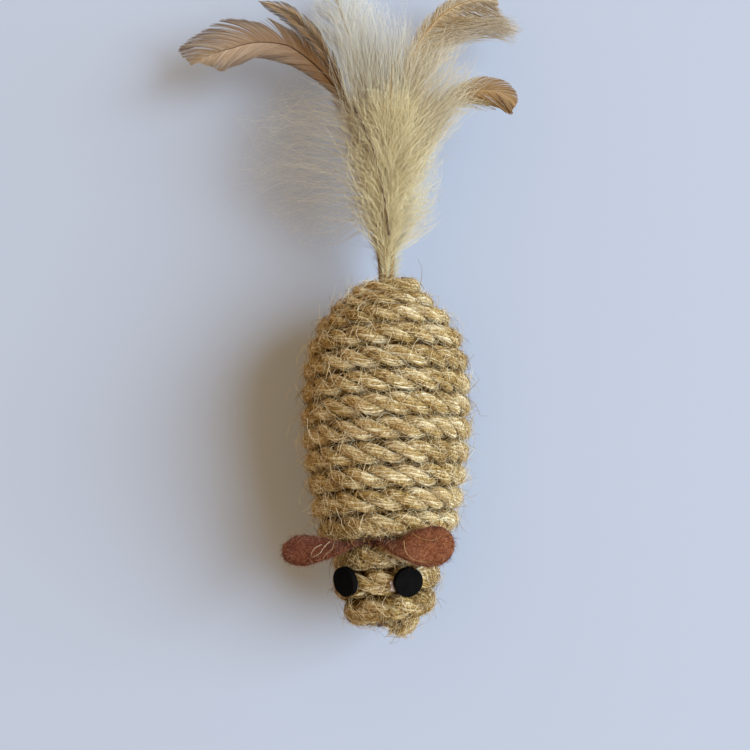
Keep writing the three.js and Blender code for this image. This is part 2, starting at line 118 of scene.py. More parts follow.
# %% Fields: values that flow through a node tree
class Field:
    """A socket of a node tree that can be added, multiplied and so on."""

    def __init__(self, nodes, socket):
        self.nodes = nodes
        self.socket = socket

    def output(self, place):
        """Another output of the same node."""
        return Field(self.nodes, self.socket.node.outputs[place])

    def __add__(self, other):
        return self.nodes.calculate("ADD", self, other)

    def __sub__(self, other):
        return self.nodes.calculate("SUBTRACT", self, other)

    def __rsub__(self, other):
        return self.nodes.calculate("SUBTRACT", other, self)

    def __mul__(self, other):
        return self.nodes.calculate("MULTIPLY", self, other)

    def __truediv__(self, other):
        return self.nodes.calculate("DIVIDE", self, other)


def is_vector(value):
    if isinstance(value, Field):
        return value.socket.type in ("VECTOR", "RGBA")
    return isinstance(value, (tuple, Vector))


# %% Node trees in general
class Nodes:
    """A node tree with a short way to add nodes."""

    def __init__(self, tree):
        self.tree = tree

    def add(self, kind, values=None, output=0, **settings):
        """A new node with values or links at its inputs. The result is one of its outputs."""
        node = self.tree.nodes.new(kind)
        for name, value in settings.items():
            setattr(node, name, value)
        for place, value in (values or {}).items():
            if isinstance(value, Field):
                self.tree.links.new(value.socket, node.inputs[place])
            else:
                node.inputs[place].default_value = value
        return Field(self, node.outputs[output])

    def calculate(self, operation, *values):
        """A maths node, for numbers or for vectors, whichever the values are."""
        vectors = [is_vector(value) for value in values]
        if operation == "MULTIPLY" and vectors == [True, False]:
            return self.add("ShaderNodeVectorMath", {0: values[0], 3: values[1]},
                            operation="SCALE")
        kind = "ShaderNodeVectorMath" if any(vectors) else "ShaderNodeMath"
        return self.add(kind, dict(enumerate(values)), operation=operation)

    def mixed(self, factor, first, second):
        """first at factor 0, second at factor 1."""
        return first + (second - first) * factor

    def noise(self, place, scale=1.0, detail=2.0, roughness=0.5, vector=False):
        """Smooth noise from 0 to 1, over a number or over a vector."""
        label, dimensions = ("Vector", "3D") if is_vector(place) else ("W", "1D")
        return self.add("ShaderNodeTexNoise", {
            label: place, "Scale": scale, "Detail": detail, "Roughness": roughness},
            int(vector), noise_dimensions=dimensions)

    def spread(self, field, low, high):
        """The field's range from low to high, stretched to 0 to 1 and cut off there."""
        return self.add("ShaderNodeMapRange", {
            "Value": field, "From Min": low, "From Max": high}, interpolation_type="SMOOTHSTEP")


# %% [markdown]
# A geometry tree has named inputs for its sizes. `run` hangs it on a guide object as a modifier,
# sets those inputs by their identifiers, and turns the result into a plain mesh with the
# modifier gone. The tree itself always ends with Realize Instances and Set Material.

# %% Geometry trees
VECTOR = "FLOAT_VECTOR"


class GeometryNodes(Nodes):
    """A geometry tree whose named sizes are its inputs."""

    def __init__(self, name, **sizes):
        super().__init__(bpy.data.node_groups.new(name, "GeometryNodeTree"))
        face = self.tree.interface
        face.new_socket("Guide", in_out="INPUT", socket_type="NodeSocketGeometry")
        face.new_socket("Piece", in_out="OUTPUT", socket_type="NodeSocketGeometry")
        self.identifiers = {}
        for label, value in {**sizes, "material": None}.items():
            kind = {int: "NodeSocketInt", float: "NodeSocketFloat"}.get(type(value))
            socket = face.new_socket(
                label, in_out="INPUT", socket_type=kind or "NodeSocketMaterial")
            if kind:
                socket.default_value = value
            self.identifiers[label] = socket.identifier
        self.start = self.tree.nodes.new("NodeGroupInput")
        self.guide = Field(self, self.start.outputs[0])

    def __getitem__(self, label):
        return Field(self, self.start.outputs[label])

    def attribute(self, name, kind="FLOAT"):
        return self.add("GeometryNodeInputNamedAttribute", {"Name": name}, data_type=kind)

    def vector(self, name):
        return self.attribute(name, VECTOR)

    def position(self):
        return self.add("GeometryNodeInputPosition")

    def tangent(self):
        return self.add("GeometryNodeInputTangent")

    def length(self):
        """The distance from the curve's start."""
        return self.add("GeometryNodeSplineParameter", output=1)

    def path(self):
        """The guide's lines as curves."""
        return self.add("GeometryNodeMeshToCurve", {0: self.guide})

    def trimmed(self, curve, **ends):
        """The stretch of the curve between two shares of its length, Start and End."""
        return self.add("GeometryNodeTrimCurve", {0: curve, **ends}, mode="FACTOR")

    def resampled(self, curve, count):
        """The curve with so many points, evenly spaced."""
        return self.add("GeometryNodeResampleCurve", {0: curve, "Count": count}, mode="COUNT")

    def store(self, geometry, **values):
        """The geometry with a named attribute for each value, worked out at its points."""
        for name, value in values.items():
            geometry = self.add("GeometryNodeStoreNamedAttribute", {
                "Geometry": geometry, "Name": name, "Value": value},
                data_type=VECTOR if is_vector(value) else "FLOAT", domain="POINT")
        return geometry

    def random(self, seed, low=0.0, high=1.0, identity=None):
        """A random number for each element, or for each identity."""
        values = {2: low, 3: high, "Seed": seed}
        if identity is not None:
            values["ID"] = identity
        return self.add("FunctionNodeRandomValue", values, output=1, data_type="FLOAT")

    def moved(self, geometry, offset):
        return self.add("GeometryNodeSetPosition", {"Geometry": geometry, "Offset": offset})

    def raised(self, geometry, lowest, share=1.0):
        """What lies under the lowest height goes up to it, or up by a share of the way."""
        height = self.add("ShaderNodeSeparateXYZ", {0: self.position()}, 2)
        below = self.calculate("MAXIMUM", lowest - height, 0.0)
        return self.moved(geometry, self.add("ShaderNodeCombineXYZ", {2: below * share}))

    def swept(self, curve, sides, radius, scale=1.0):
        """A closed tube along the curve."""
        profile = self.add("GeometryNodeCurvePrimitiveCircle", {
            "Resolution": sides, "Radius": radius}, mode="RADIUS")
        return self.add("GeometryNodeCurveToMesh", {
            "Curve": curve, "Profile Curve": profile, "Scale": scale, "Fill Caps": True})

    def hairs(self, lines, radius, taper):
        """Thin three-sided tubes along the lines. They lose this share of their radius."""
        return self.swept(lines, 3, radius, 1.0 - self.attribute("out") * taper)

    def joined(self, *pieces):
        node = self.tree.nodes.new("GeometryNodeJoinGeometry")
        for piece in reversed(pieces):
            self.tree.links.new(piece.socket, node.inputs[0])
        return Field(self, node.outputs[0])

    def ends(self, geometry):
        """Adds the last steps, which every tree has, and the tree's output."""
        real = self.add("GeometryNodeRealizeInstances", {0: geometry})
        smooth = self.add("GeometryNodeSetShadeSmooth", {0: real})
        painted = self.add("GeometryNodeSetMaterial", {
            "Geometry": smooth, "Material": self["material"]})
        finish = self.tree.nodes.new("NodeGroupOutput")
        self.tree.links.new(painted.socket, finish.inputs[0])
        return self

    def run(self, guide, name, **sizes):
        """A new plain mesh piece, made by this tree from the guide object."""
        modifier = guide.modifiers.new("nodes", "NODES")
        modifier.node_group = self.tree
        for label, value in sizes.items():
            modifier[self.identifiers[label]] = value
        bpy.context.view_layer.update()
        evaluated = guide.evaluated_get(bpy.context.evaluated_depsgraph_get())
        mesh = bpy.data.meshes.new_from_object(evaluated)
        guide.modifiers.remove(modifier)
        mesh.name = name
        piece = placed(name, mesh)
        mesh.calc_loop_triangles()
        print(name, len(mesh.loop_triangles), "triangles")
        return piece


# %% Guides: lines with a value at each point
def mark(mesh, label, values):
    """A named attribute with one number, or one vector, for each point of the mesh."""
    values = np.array(values, dtype=np.float32)
    kind, field = (VECTOR, "vector") if values.ndim == 2 else ("FLOAT", "value")
    mesh.attributes.new(label, kind, "POINT").data.foreach_set(field, values.ravel())


def guide_line(name, lines, **values):
    """An object of plain lines, with a named attribute for each list of values."""
    mesh = bpy.data.meshes.new(name)
    points = [tuple(point) for line in lines for point in line]
    edges = []
    start = 0
    for line in lines:
        edges += [(start + step, start + step + 1) for step in range(len(line) - 1)]
        start += len(line)
    mesh.from_pydata(points, edges, [])
    for label, column in values.items():
        mark(mesh, label, [value for line in column for value in line])
    return placed(name, mesh)


# %% [markdown]
# ## Materials
#
# A material is written as arithmetic too. Colours are given as they look on a screen, from 0 to
# 255, and turned into the light values that Blender works with. A value that is the same all over
# a piece, such as its sheen, is set on the shader itself.

# %% Material helpers
def paint(red, green, blue):
    """A screen colour as linear light."""
    def linear(value):
        value = value / 255
        return value / 12.92 if value <= 0.04045 else ((value + 0.055) / 1.055) ** 2.4
    return (linear(red), linear(green), linear(blue), 1.0)


class Finish(Nodes):
    """A material. Its constants are set on the shader, with _ for a space in their names."""

    def __init__(self, name, **constants):
        self.material = bpy.data.materials.new(name)
        self.material.use_nodes = True
        super().__init__(self.material.node_tree)
        self.shader = next(n for n in self.tree.nodes if n.type == "BSDF_PRINCIPLED")
        for label, value in constants.items():
            socket = label.replace("_", " ").title().replace("Ior", "IOR")
            self.shader.inputs[socket].default_value = value

    def attribute(self, name):
        return self.add("ShaderNodeAttribute", output=2, attribute_name=name)

    def place(self):
        """The place in the object's own coordinates."""
        return self.add("ShaderNodeTexCoord", output=3)

    def ramp(self, factor, *stops):
        """A colour that passes through the stops: (place, colour) pairs."""
        field = self.add("ShaderNodeValToRGB", {0: factor})
        elements = field.socket.node.color_ramp.elements
        while len(elements) < len(stops):
            elements.new(1.0)
        for element, (place, colour) in zip(elements, stops):
            element.position = place
            element.color = colour
        return field

    def blend(self, factor, first, second):
        """The first colour at factor 0, the second at factor 1."""
        return self.add("ShaderNodeMix", {0: factor, 6: first, 7: second}, output=2,
                        data_type="RGBA")

    def painted(self, colour, height=None, distance=0.0):
        """The finished material: its colour and, where there is a height, its fine relief."""
        self.tree.links.new(colour.socket, self.shader.inputs["Base Color"])
        if height is not None:
            relief = self.add("ShaderNodeBump", {"Height": height, "Distance": distance})
            self.tree.links.new(relief.socket, self.shader.inputs["Normal"])
        return self.material


# %% [markdown]
# ### Rope and loose fibres
#
# Jute and sisal rope is straw coloured. Its hollows, between the strands and the turns, get
# painted
# shade: they turn deep brown. Each yarn of the model carries a random shade, and noise that is
# stretched along the fibre adds the fine streaks. Noise in space turns some stretches of the rope
# redder, as old fibre is.

# %% Rope materials
streak_frequency = 900.0  # changes of shade in a metre of fibre
streak_height = 0.08 * mm
redder = paint(176, 138, 96)
hollow_shade_colour = paint(54, 24, 1)


def rope_finish(name, dark, middle, light, streaks=0.55, painted_shade_depth=0.92):
    """streaks is their share in the tone, and painted_shade_depth how far the painted shade
    darkens the hollows.
    """
    finish = Finish(name, roughness=0.85, specular_ior_level=0.02)
    shade = finish.attribute("shade")
    along = finish.attribute("along")
    fine = finish.noise(along * streak_frequency + shade * 57.0, detail=3.0)
    patches = finish.noise(finish.place(), scale=90.0)
    tone = shade * (1.0 - streaks) + fine * streaks
    tone = tone + (patches - 0.5) * 0.5
    colour = finish.ramp(tone, (0.16, dark), (0.46, middle), (0.8, light))
    warm = finish.spread(finish.noise(finish.place(), scale=140.0, detail=1.0), 0.5, 0.75)
    colour = finish.blend(warm * 0.22, colour, redder)
    # painted shade: where crest is low, in the hollows between strands and turns, the colour turns
    # deep brown
    hollow_shade = 1.0 - finish.spread(finish.attribute("crest"), 0.0, 0.76)
    colour = finish.blend(hollow_shade * painted_shade_depth, colour, hollow_shade_colour)
    return finish.painted(colour, fine, streak_height)


rope_material = rope_finish("rope fibre", paint(80, 50, 10), paint(182, 151, 94),
                            paint(255, 243, 208))
fuzz_material = rope_finish("stray fibre", paint(106, 70, 18), paint(194, 159, 98),
                            paint(242, 225, 186), streaks=0.25, painted_shade_depth=0.95)

# %% [markdown]
# ## The rope's path
#
# Seen from the side, the centre of the rope follows a smooth outline from the tail hole over the
# plump body, down into the neck and over the head to the nose. The rope climbs along that outline
# by one spacing per turn. The same sizes place the solid model's rope, so both ropes share a path.

# %% Outline of the winding
# sizes of the solid model in millimetres, for the centre line of the rope
body_radius = 18.4
body_rear_length = 29.2
body_front_length = 31.5
tail_hole_radius = 5.9
shoulder_radius = 14.5
neck_groove_width = 3.0
head_back_radius = 10.2
head_length = 15.7
nose_turn_radius = 4.3
rope_spacing = 5.7
head_rope_spacing = 6.1
rope_diameter = 5.3
axis_height = 20.433  # of the body's axis above the floor
rest_along = -6.1907  # the turn that the toy rests on, from the body's widest place

# (share of the length, share of the radius) at each point
rump_shares = [(0.93, 0.35), (0.8, 0.565), (0.645, 0.772), (0.465, 0.905), (0.275, 0.977)]
flank_shares = [(0.287, 0.987), (0.646, 0.91)]
head_shares = [(0.4, 0.955), (0.79, 0.785)]

head_back = -body_front_length - math.sqrt(
    (rope_spacing + neck_groove_width) ** 2 - (shoulder_radius - head_back_radius) ** 2)
outline_points = [(tail_hole_radius, body_rear_length)]
outline_points += [(max(tail_hole_radius, wide * body_radius), along * body_rear_length)
                   for along, wide in rump_shares]
outline_points += [(body_radius, 0.0)]
outline_points += [(wide * body_radius, -along * body_front_length)
                   for along, wide in flank_shares]
outline_points += [(shoulder_radius, -body_front_length), (head_back_radius, head_back)]
outline_points += [(wide * head_back_radius, head_back - along * head_length)
                   for along, wide in head_shares]
outline_points += [(nose_turn_radius, head_back - head_length)]


# %% A smooth curve through the outline's points
def smooth_curve(points, fineness=400):
    """Points on a centripetal Catmull-Rom curve, which passes through every given point."""
    points = np.array(points, float)
    points = np.vstack([2 * points[0] - points[1], points, 2 * points[-1] - points[-2]])
    result = []
    for first in range(len(points) - 3):
        p0, p1, p2, p3 = points[first:first + 4]
        d0, d1, d2 = (np.linalg.norm(b - a) ** 0.5 for a, b in ((p0, p1), (p1, p2), (p2, p3)))
        leave = ((p1 - p0) / d0 - (p2 - p0) / (d0 + d1) + (p2 - p1) / d1) * d1
        arrive = ((p2 - p1) / d1 - (p3 - p1) / (d1 + d2) + (p3 - p2) / d2) * d1
        for t in np.arange(fineness) / fineness:
            result.append(p1 + leave * t
                          + (-3 * p1 + 3 * p2 - 2 * leave - arrive) * t ** 2
                          + (2 * p1 - 2 * p2 + leave + arrive) * t ** 3)
    result.append(points[-2])
    return np.array(result)


outline = smooth_curve(outline_points)
outline_distance = np.concatenate([[0], np.cumsum(
    np.linalg.norm(np.diff(outline, axis=0), axis=1))])
outline_length = outline_distance[-1]
print("outline", round(outline_length, 2), "mm")

# %% From turns to places
start_turn = -0.35
nose_phase = 0.78  # the part of a turn at which the rope ends
body_rounding_share = 0.02  # what may be missing from the last full turn on the body
head_rounding_share = 0.2
slope_reach = 0.05
shoulder_distance = np.interp(body_front_length, -outline[:, 1], outline_distance)
head_distance = np.interp(-head_back, -outline[:, 1], outline_distance)
shoulder_turn = math.floor(shoulder_distance / rope_spacing + start_turn + body_rounding_share)
nose_run = outline_length - head_distance
head_turns = nose_phase + max(1, math.floor(
    nose_run / head_rope_spacing - nose_phase + head_rounding_share))
end_turn = shoulder_turn + 1 + head_turns
turn_stops = [start_turn, shoulder_turn, shoulder_turn + 1, end_turn]
distance_stops = [0, shoulder_distance, head_distance, outline_length]


def on_winding(turn, lift=0.0):
    """A place on the rope's centre line, or lifted off it outwards, in metres."""
    def outline_at(distance):
        return np.array([np.interp(distance, outline_distance, column) for column in outline.T])

    distance = np.interp(turn, turn_stops, distance_stops)
    slope = outline_at(distance + slope_reach) - outline_at(distance - slope_reach)
    slope = slope / np.linalg.norm(slope)
    radius, along = outline_at(distance) + lift * np.array([-slope[1], slope[0]])
    angle = -2 * math.pi * turn
    return Vector((radius * math.sin(angle), along - rest_along,
                   radius * math.cos(angle) + axis_height)) * mm


print("turns", round(end_turn - start_turn, 2), "shoulder at", shoulder_turn)

# %% [markdown]
# ## The rope itself
#
# Toy rope is laid from three strands, and each strand is spun from many thin yarns. Seen from
# close by it is the strands that make the rope look like rope: they cross it at a slant. A tree
# turns them round the rope's path as a right-handed screw, and then turns the yarns round each
# strand the other way, just as the rope maker does, so the fibres end up nearly in line with the
# rope. Where the toy lies on its belly the rope is pressed flat.

# %% Guide for the rope
path_steps_per_turn = 64
cut_end_length = 3.6 * mm
cut_end_steps = 6
tail_end_climb = math.radians(21)
nose_end_climb = math.radians(20)
# places towards the nose or distances from a cut end, and how thick the rope is there
head_looseness = [25 * mm, 36 * mm], [1.0, 1.12]
tail_end_taper = [0, 2.5 * mm, 6 * mm], [0.55, 0.9, 1.0]
nose_end_taper = [0, 2 * mm, 5 * mm], [0.75, 1.0, 1.0]


def rope_line():
    """The path of the winding, with a straight run at each cut end that leaves the body."""
    count = round((end_turn - start_turn) * path_steps_per_turn)
    points = [on_winding(turn) for turn in np.linspace(start_turn, end_turn, count + 1)]
    for climb, way in ((tail_end_climb, 1), (nose_end_climb, -1)):
        points = points[::-1]
        last = points[-1]
        heading = last - points[-2]
        heading.y = 0
        radial = Vector((last.x, 0, last.z - axis_height * mm)).normalized()
        heading = (heading - radial * heading.dot(radial)).normalized() * math.cos(climb)
        heading.y = math.sin(climb) * way
        points += [last + heading * cut_end_length * step / cut_end_steps
                   for step in range(1, cut_end_steps + 1)]
    return points


def rope_thickness(points):
    """Thickness beside the plain rope: looser on the head, drawn in at both cut ends."""
    distance = np.concatenate([[0], np.cumsum(
        [(b - a).length for a, b in zip(points, points[1:])])])
    loose = np.interp([-point.y for point in points], *head_looseness)
    tail_end = np.interp(distance, *tail_end_taper)
    nose_end = np.interp(distance[-1] - distance, *nose_end_taper)
    return loose * tail_end * nose_end


def outwards(points):
    """The way straight out of the body at each point of the path."""
    turns = np.linspace(start_turn, end_turn, len(points) - 2 * cut_end_steps)
    normals = [on_winding(turn, 1) - on_winding(turn) for turn in turns]
    normals = [normals[0]] * cut_end_steps + normals + [normals[-1]] * cut_end_steps
    return [normal.normalized() for normal in normals]


rope_points = rope_line()
rope_guide = guide_line("rope_guide", [rope_points], thickness=[rope_thickness(rope_points)],
                        outward=[outwards(rope_points)])
print("rope path", len(rope_points), "points")

# %% Tree for one strand
strand_count = 3


def helix(tree, curve, normal, turns, height, width):
    """The curve, wound round itself by so many turns at each point."""
    side = tree.calculate("CROSS_PRODUCT", tree.tangent(), normal)
    angle = turns * (2 * math.pi)
    return tree.moved(curve, normal * (tree.calculate("COSINE", angle) * height)
                      + side * (tree.calculate("SINE", angle) * width))


def unevenness(tree, length, frequency, shift, detail=1.0):
    """Noise around zero along a line. The shift gives each line its own stretch of noise."""
    return tree.noise(length * frequency + shift, detail=detail) - 0.5


def strand_tree():
    tree = GeometryNodes("rope strand", strand=0, strands=strand_count, strand_offset=1.5 * mm,
                         widening=1.12, lay_length=17.6 * mm, heart_radius=1.18 * mm, yarns=20,
                         yarn_offset=1.24 * mm, yarn_lay_length=21 * mm, yarn_radius=0.25 * mm,
                         step=1.3 * mm, pressed_height=1.7 * mm, pressed_share=0.38)
    length = tree.length()
    path = tree.add("GeometryNodeResampleCurve", {0: tree.path(), "Length": tree["step"]},
                    mode="LENGTH")
    thickness = tree.attribute("thickness")
    wander = unevenness(tree, length, 60.0, tree["strand"] * 9.1)
    turns = length / tree["lay_length"] + tree["strand"] / tree["strands"] + wander * 0.1
    swell = unevenness(tree, length, 110.0, tree["strand"] * 31.7)
    path = tree.store(path, swell=swell * 0.14 + 1.0, rope_place=tree.position())
    strand = helix(tree, path, tree.vector("outward"), turns,
                   tree["strand_offset"] * thickness,
                   tree["strand_offset"] * thickness * tree["widening"])
    swell = tree.attribute("swell") * thickness
    untidy = tree.add("ShaderNodeClamp", {"Value": (thickness - 1.0) * 9.0})

    heart = tree.store(strand, shade=0.2, along=length)
    heart = tree.swept(heart, 10, tree["heart_radius"], swell)

    yarns = tree.add("GeometryNodeDuplicateElements", {
        0: strand, "Amount": tree["yarns"]}, domain="SPLINE")
    yarns = tree.store(yarns, number=yarns.output(1))
    number = tree.attribute("number")
    jitter = tree.random(3, -0.25, 0.25, number)
    drift = unevenness(tree, length, 190.0, number * 11.3, detail=2.0)
    turns = ((number + jitter + drift * (untidy * 5.0 + 3.0)) / tree["yarns"]
             - length / tree["yarn_lay_length"])
    rise = unevenness(tree, length, 320.0, number * 5.7 + 80.0, detail=2.0)
    offset = tree["yarn_offset"] * swell * (rise * (untidy * 0.5 + 0.34) + 1.0)
    yarns = helix(tree, yarns, tree.add("GeometryNodeInputNormal"), turns, offset, offset)
    patches = tree.noise(length * 130.0 + number * 3.9)
    yarns = tree.store(yarns, shade=tree.random(8, identity=number) * 0.6 + patches * 0.4,
                       along=length + number * 1.7)
    thick = tree.random(5, 0.75, 1.25, number) * thickness
    yarns = tree.swept(yarns, 3, tree["yarn_radius"], thick)

    both = tree.joined(heart, yarns)
    # crest: how far out from the rope's centre a point lies; the material paints shade in the
    # hollows, where it is low
    crest = tree.add("ShaderNodeVectorMath", {
        0: tree.position() - tree.vector("rope_place"), 1: tree.vector("outward")}, output=1,
        operation="DOT_PRODUCT")
    both = tree.store(both, crest=crest / (tree["strand_offset"] + tree["yarn_offset"]))
    return tree.ends(tree.raised(both, tree["pressed_height"], tree["pressed_share"]))


strand_nodes = strand_tree()
for number in range(strand_count):
    piece = strand_nodes.run(rope_guide, f"rope_strand_{number + 1}", strand=number,
                             material=rope_material)
    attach(piece, "mouse")
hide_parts("rope_winding")

# %% [markdown]
# ## Stray fibres
#
# Plant-fibre rope is hairy: short ends of fibre come loose everywhere, lie across the strands and
# stand off the outline. A tree sets them along the rope's path, each at a random place round the
# rope, pointing mostly along it, and bends them back towards the body so that they hug it. The
# first part of the tree, which sprouts lines from points, also makes the felt's fuzz and the
# barbs of the feathers.

# %% Lines that sprout from points
def sprouted(tree, points, direction, up, reach, segments):
    """A line of a given reach from each point, straight and made real, with its share as out."""
    points = tree.store(points, direction=direction, up=up, reach=reach)
    line = tree.add("GeometryNodeCurvePrimitiveLine", {0: (0, 0, 0), 1: (1, 0, 0)})
    line = tree.resampled(line, segments + 1)
    line = tree.store(line, out=tree.add("GeometryNodeSplineParameter"))
    turned = tree.add("FunctionNodeAxesToRotation", {
        0: tree.vector("direction"), 1: tree.vector("up")}, primary_axis="X", secondary_axis="Z")
    lines = tree.add("GeometryNodeInstanceOnPoints", {
        "Points": points, "Instance": line, "Rotation": turned,
        "Scale": tree.attribute("reach")})
    return tree.add("GeometryNodeRealizeInstances", {0: lines})


def wobble(tree, frequency, shift):
    """A smooth random vector around zero that changes from place to place and line to line."""
    shift = tree.add("ShaderNodeCombineXYZ", {0: shift, 1: shift * 0.37})
    place = tree.position() * frequency + shift
    return tree.noise(place, detail=1.0, vector=True) - Vector((0.5, 0.5, 0.5))


# %% [markdown]
# No fibre may stand up through an eye. So the places of the eyes are worked out before the
# fibres, with the same sizes as in the solid model, and the path under them is marked as bald.

# %% Where the eyes go
# sizes of the solid model, in millimetres
eye_diameter = 7.2
eye_thickness = 1.6
eye_angle = math.radians(33)
eye_tilt = math.radians(14)
glue_film = 0.4
fit_clearance = 0.3
eye_crown = 0.12
eye_round = 0.3
eye_back = 0.6
bald_margin = 2.6

eye_seat = np.array(on_winding(shoulder_turn + 2)) / mm + (0, eye_back, 0)
eye_places = {}
for side_name, side in (("left", -1), ("right", 1)):
    eye_places[side_name] = (
        Matrix.Translation((0, eye_seat[1] * mm, axis_height * mm))
        @ Matrix.Rotation(side * eye_angle, 4, "Y")
        @ Matrix.Translation((0, 0, (eye_seat[2] - axis_height + rope_diameter / 2) * mm))
        @ Matrix.Rotation(eye_tilt, 4, "X")
        @ Matrix.Translation((0, 0, (2 * fit_clearance + glue_film) * mm)))
    print(side_name, "eye at", [round(v, 1) for v in eye_places[side_name].translation / mm])


def bald_spots(points):
    """1 at the points of the path that lie under an eye, where no fibre may stand up."""
    centres = [place.translation for place in eye_places.values()]
    reach = (eye_diameter / 2 + bald_margin) * mm
    return [float(min((point - centre).length for centre in centres) < reach)
            for point in points]


mark(rope_guide.data, "bald", bald_spots(rope_points))

# %% Tree for stray fibres
neck_along = -34 * mm
floor_gap = 0.2 * mm


def stray_tree(segments):
    """Fibres of so many segments each. More segments let a fibre curl more tightly."""
    tree = GeometryNodes("stray fibres", fibres=6400, seed=1, rope_radius=2.8 * mm,
                         shortest=1.2 * mm, longest=5.0 * mm, lift=0.18, scatter=1.1,
                         bend=0.9, curl=160.0, hug_radius=11 * mm, fibre_radius=0.055 * mm,
                         from_share=0.0)
    points = tree.resampled(tree.trimmed(tree.path(), Start=tree["from_share"]), tree["fibres"])
    seed = tree["seed"]
    outward = tree.vector("outward")
    side = tree.calculate("CROSS_PRODUCT", tree.tangent(), outward)
    round_rope = tree.random(seed, -1.45, 1.45)
    upright = tree.calculate("COSINE", round_rope)
    points = tree.store(
        points, normal_out=outward * upright + side * tree.calculate("SINE", round_rope),
        tangent=tree.tangent(), shade=tree.random(seed + 1), crest=upright)
    normal = tree.vector("normal_out")
    tangent = tree.vector("tangent")
    points = tree.moved(points, normal * (tree["rope_radius"] * tree.attribute("thickness"))
                        + tangent * (tree.random(seed + 3, -1.0) * mm))

    along = tree.random(seed + 2, -0.5, 0.5)
    along = tree.calculate("SIGN", along) * (along * along * 2.4 + 0.4)
    around = tree.calculate("CROSS_PRODUCT", tangent, normal)
    direction = (tangent * along + around * (tree.random(seed + 4, -1.0) * tree["scatter"])
                 + normal * (tree.random(seed + 5, -0.6) * tree["lift"]))
    share = tree.random(seed + 6)
    reach = tree.mixed(share * share, tree["shortest"], tree["longest"])
    lines = sprouted(tree, points, tree.calculate("NORMALIZE", direction), normal, reach,
                     segments)
    lines = tree.add("GeometryNodeDeleteGeometry", {
        "Geometry": lines,
        "Selection": tree.calculate("GREATER_THAN", tree.attribute("bald"), 0.01)},
        domain="POINT")

    out = tree.attribute("out")
    length = tree.attribute("reach") * out
    fall = length * length / (tree["hug_radius"] * 2.0) * -1.0
    bend = wobble(tree, tree["curl"], tree.attribute("shade") * 40.0) * (
        length * out * tree["bend"])
    lines = tree.raised(tree.moved(lines, normal * fall + bend), floor_gap)
    # crest grows with the distance out along the fibre; the material paints shade on fibres near
    # the hollows, where it is low
    lines = tree.store(lines, along=length,
                       crest=tree.attribute("crest") + length / (10.0 * mm))
    return tree.ends(tree.hairs(lines, tree["fibre_radius"], 0.6))


neck_share = sum(point.y > neck_along for point in rope_points) / len(rope_points)
print("the head starts at", round(neck_share, 3), "of the rope")
stray_nodes = {segments: stray_tree(segments) for segments in (3, 5, 9)}
stray_runs = [
    (3, "rope_fuzz_1", dict(seed=1, lift=0.25, bend=1.2)),
    (3, "rope_fuzz_2", dict(seed=101, scatter=0.6, rope_radius=2.75 * mm)),
    (3, "rope_fuzz_3", dict(
        fibres=5200, seed=201, scatter=2.4, rope_radius=2.85 * mm, bend=1.3)),
    (3, "rope_fuzz_4", dict(
        fibres=2400, seed=301, scatter=3.2, shortest=2.2 * mm, longest=6.5 * mm, lift=0.2,
        rope_radius=2.9 * mm, bend=1.4)),
    (5, "rope_long_fibres", dict(
        fibres=500, seed=50, shortest=5 * mm, longest=11 * mm, lift=0.06, scatter=1.7,
        hug_radius=9 * mm, fibre_radius=0.075 * mm)),
    (9, "head_curls", dict(
        from_share=neck_share, fibres=1900, seed=401, scatter=2.2, shortest=2.5 * mm,
        longest=6.5 * mm, lift=0.05, rope_radius=3.0 * mm, bend=1.7, curl=460.0,
        hug_radius=3.6 * mm, fibre_radius=0.075 * mm)),
    (9, "body_curls", dict(
        fibres=1400, seed=501, scatter=2.6, shortest=3.0 * mm, longest=8 * mm, lift=0.1,
        rope_radius=3.0 * mm, bend=1.3, curl=260.0, fibre_radius=0.065 * mm)),
]
for segments, name, sizes in stray_runs:
    piece = stray_nodes[segments].run(rope_guide, name, material=fuzz_material, **sizes)
    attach(piece, "mouse")
bpy.data.objects.remove(rope_guide)

# %% [markdown]
# ## Feathers
#
# A feather has a stem with hundreds of barbs on each side, and only their leaning, curl and
# looseness make a vane look firm or downy. So one tree makes every feather: a guide line
# runs up the stem with the reach of the barbs on the left and the right at each point, and the
# tree sprouts the barbs, splits them into clumps as a worn vane splits, and sweeps the stem. The
# guide turns as the solid feather does, so each feather lies inside its solid.

# %% Feather table
# outlines of the vane: (share of the vane's length, share of its greatest half width)
hackle_shares = [(0, 0), (0.2, 0.1), (0.4, 0.42), (0.6, 0.8), (0.78, 1), (0.9, 0.86),
                 (0.96, 0.55), (1, 0.1)]
spoon_shares = [(0, 0), (0.3, 0.3), (0.5, 0.6), (0.75, 1), (0.88, 0.95), (0.95, 0.65), (1, 0.12)]
paddle_shares = [(0, 0), (0.25, 0.3), (0.45, 0.6), (0.68, 0.92), (0.84, 1), (0.94, 0.9),
                 (0.98, 0.74), (1, 0.3)]
plume_shares = [(0, 0), (0.12, 0.45), (0.3, 0.85), (0.55, 1), (0.78, 0.85), (0.92, 0.5), (1, 0.1)]

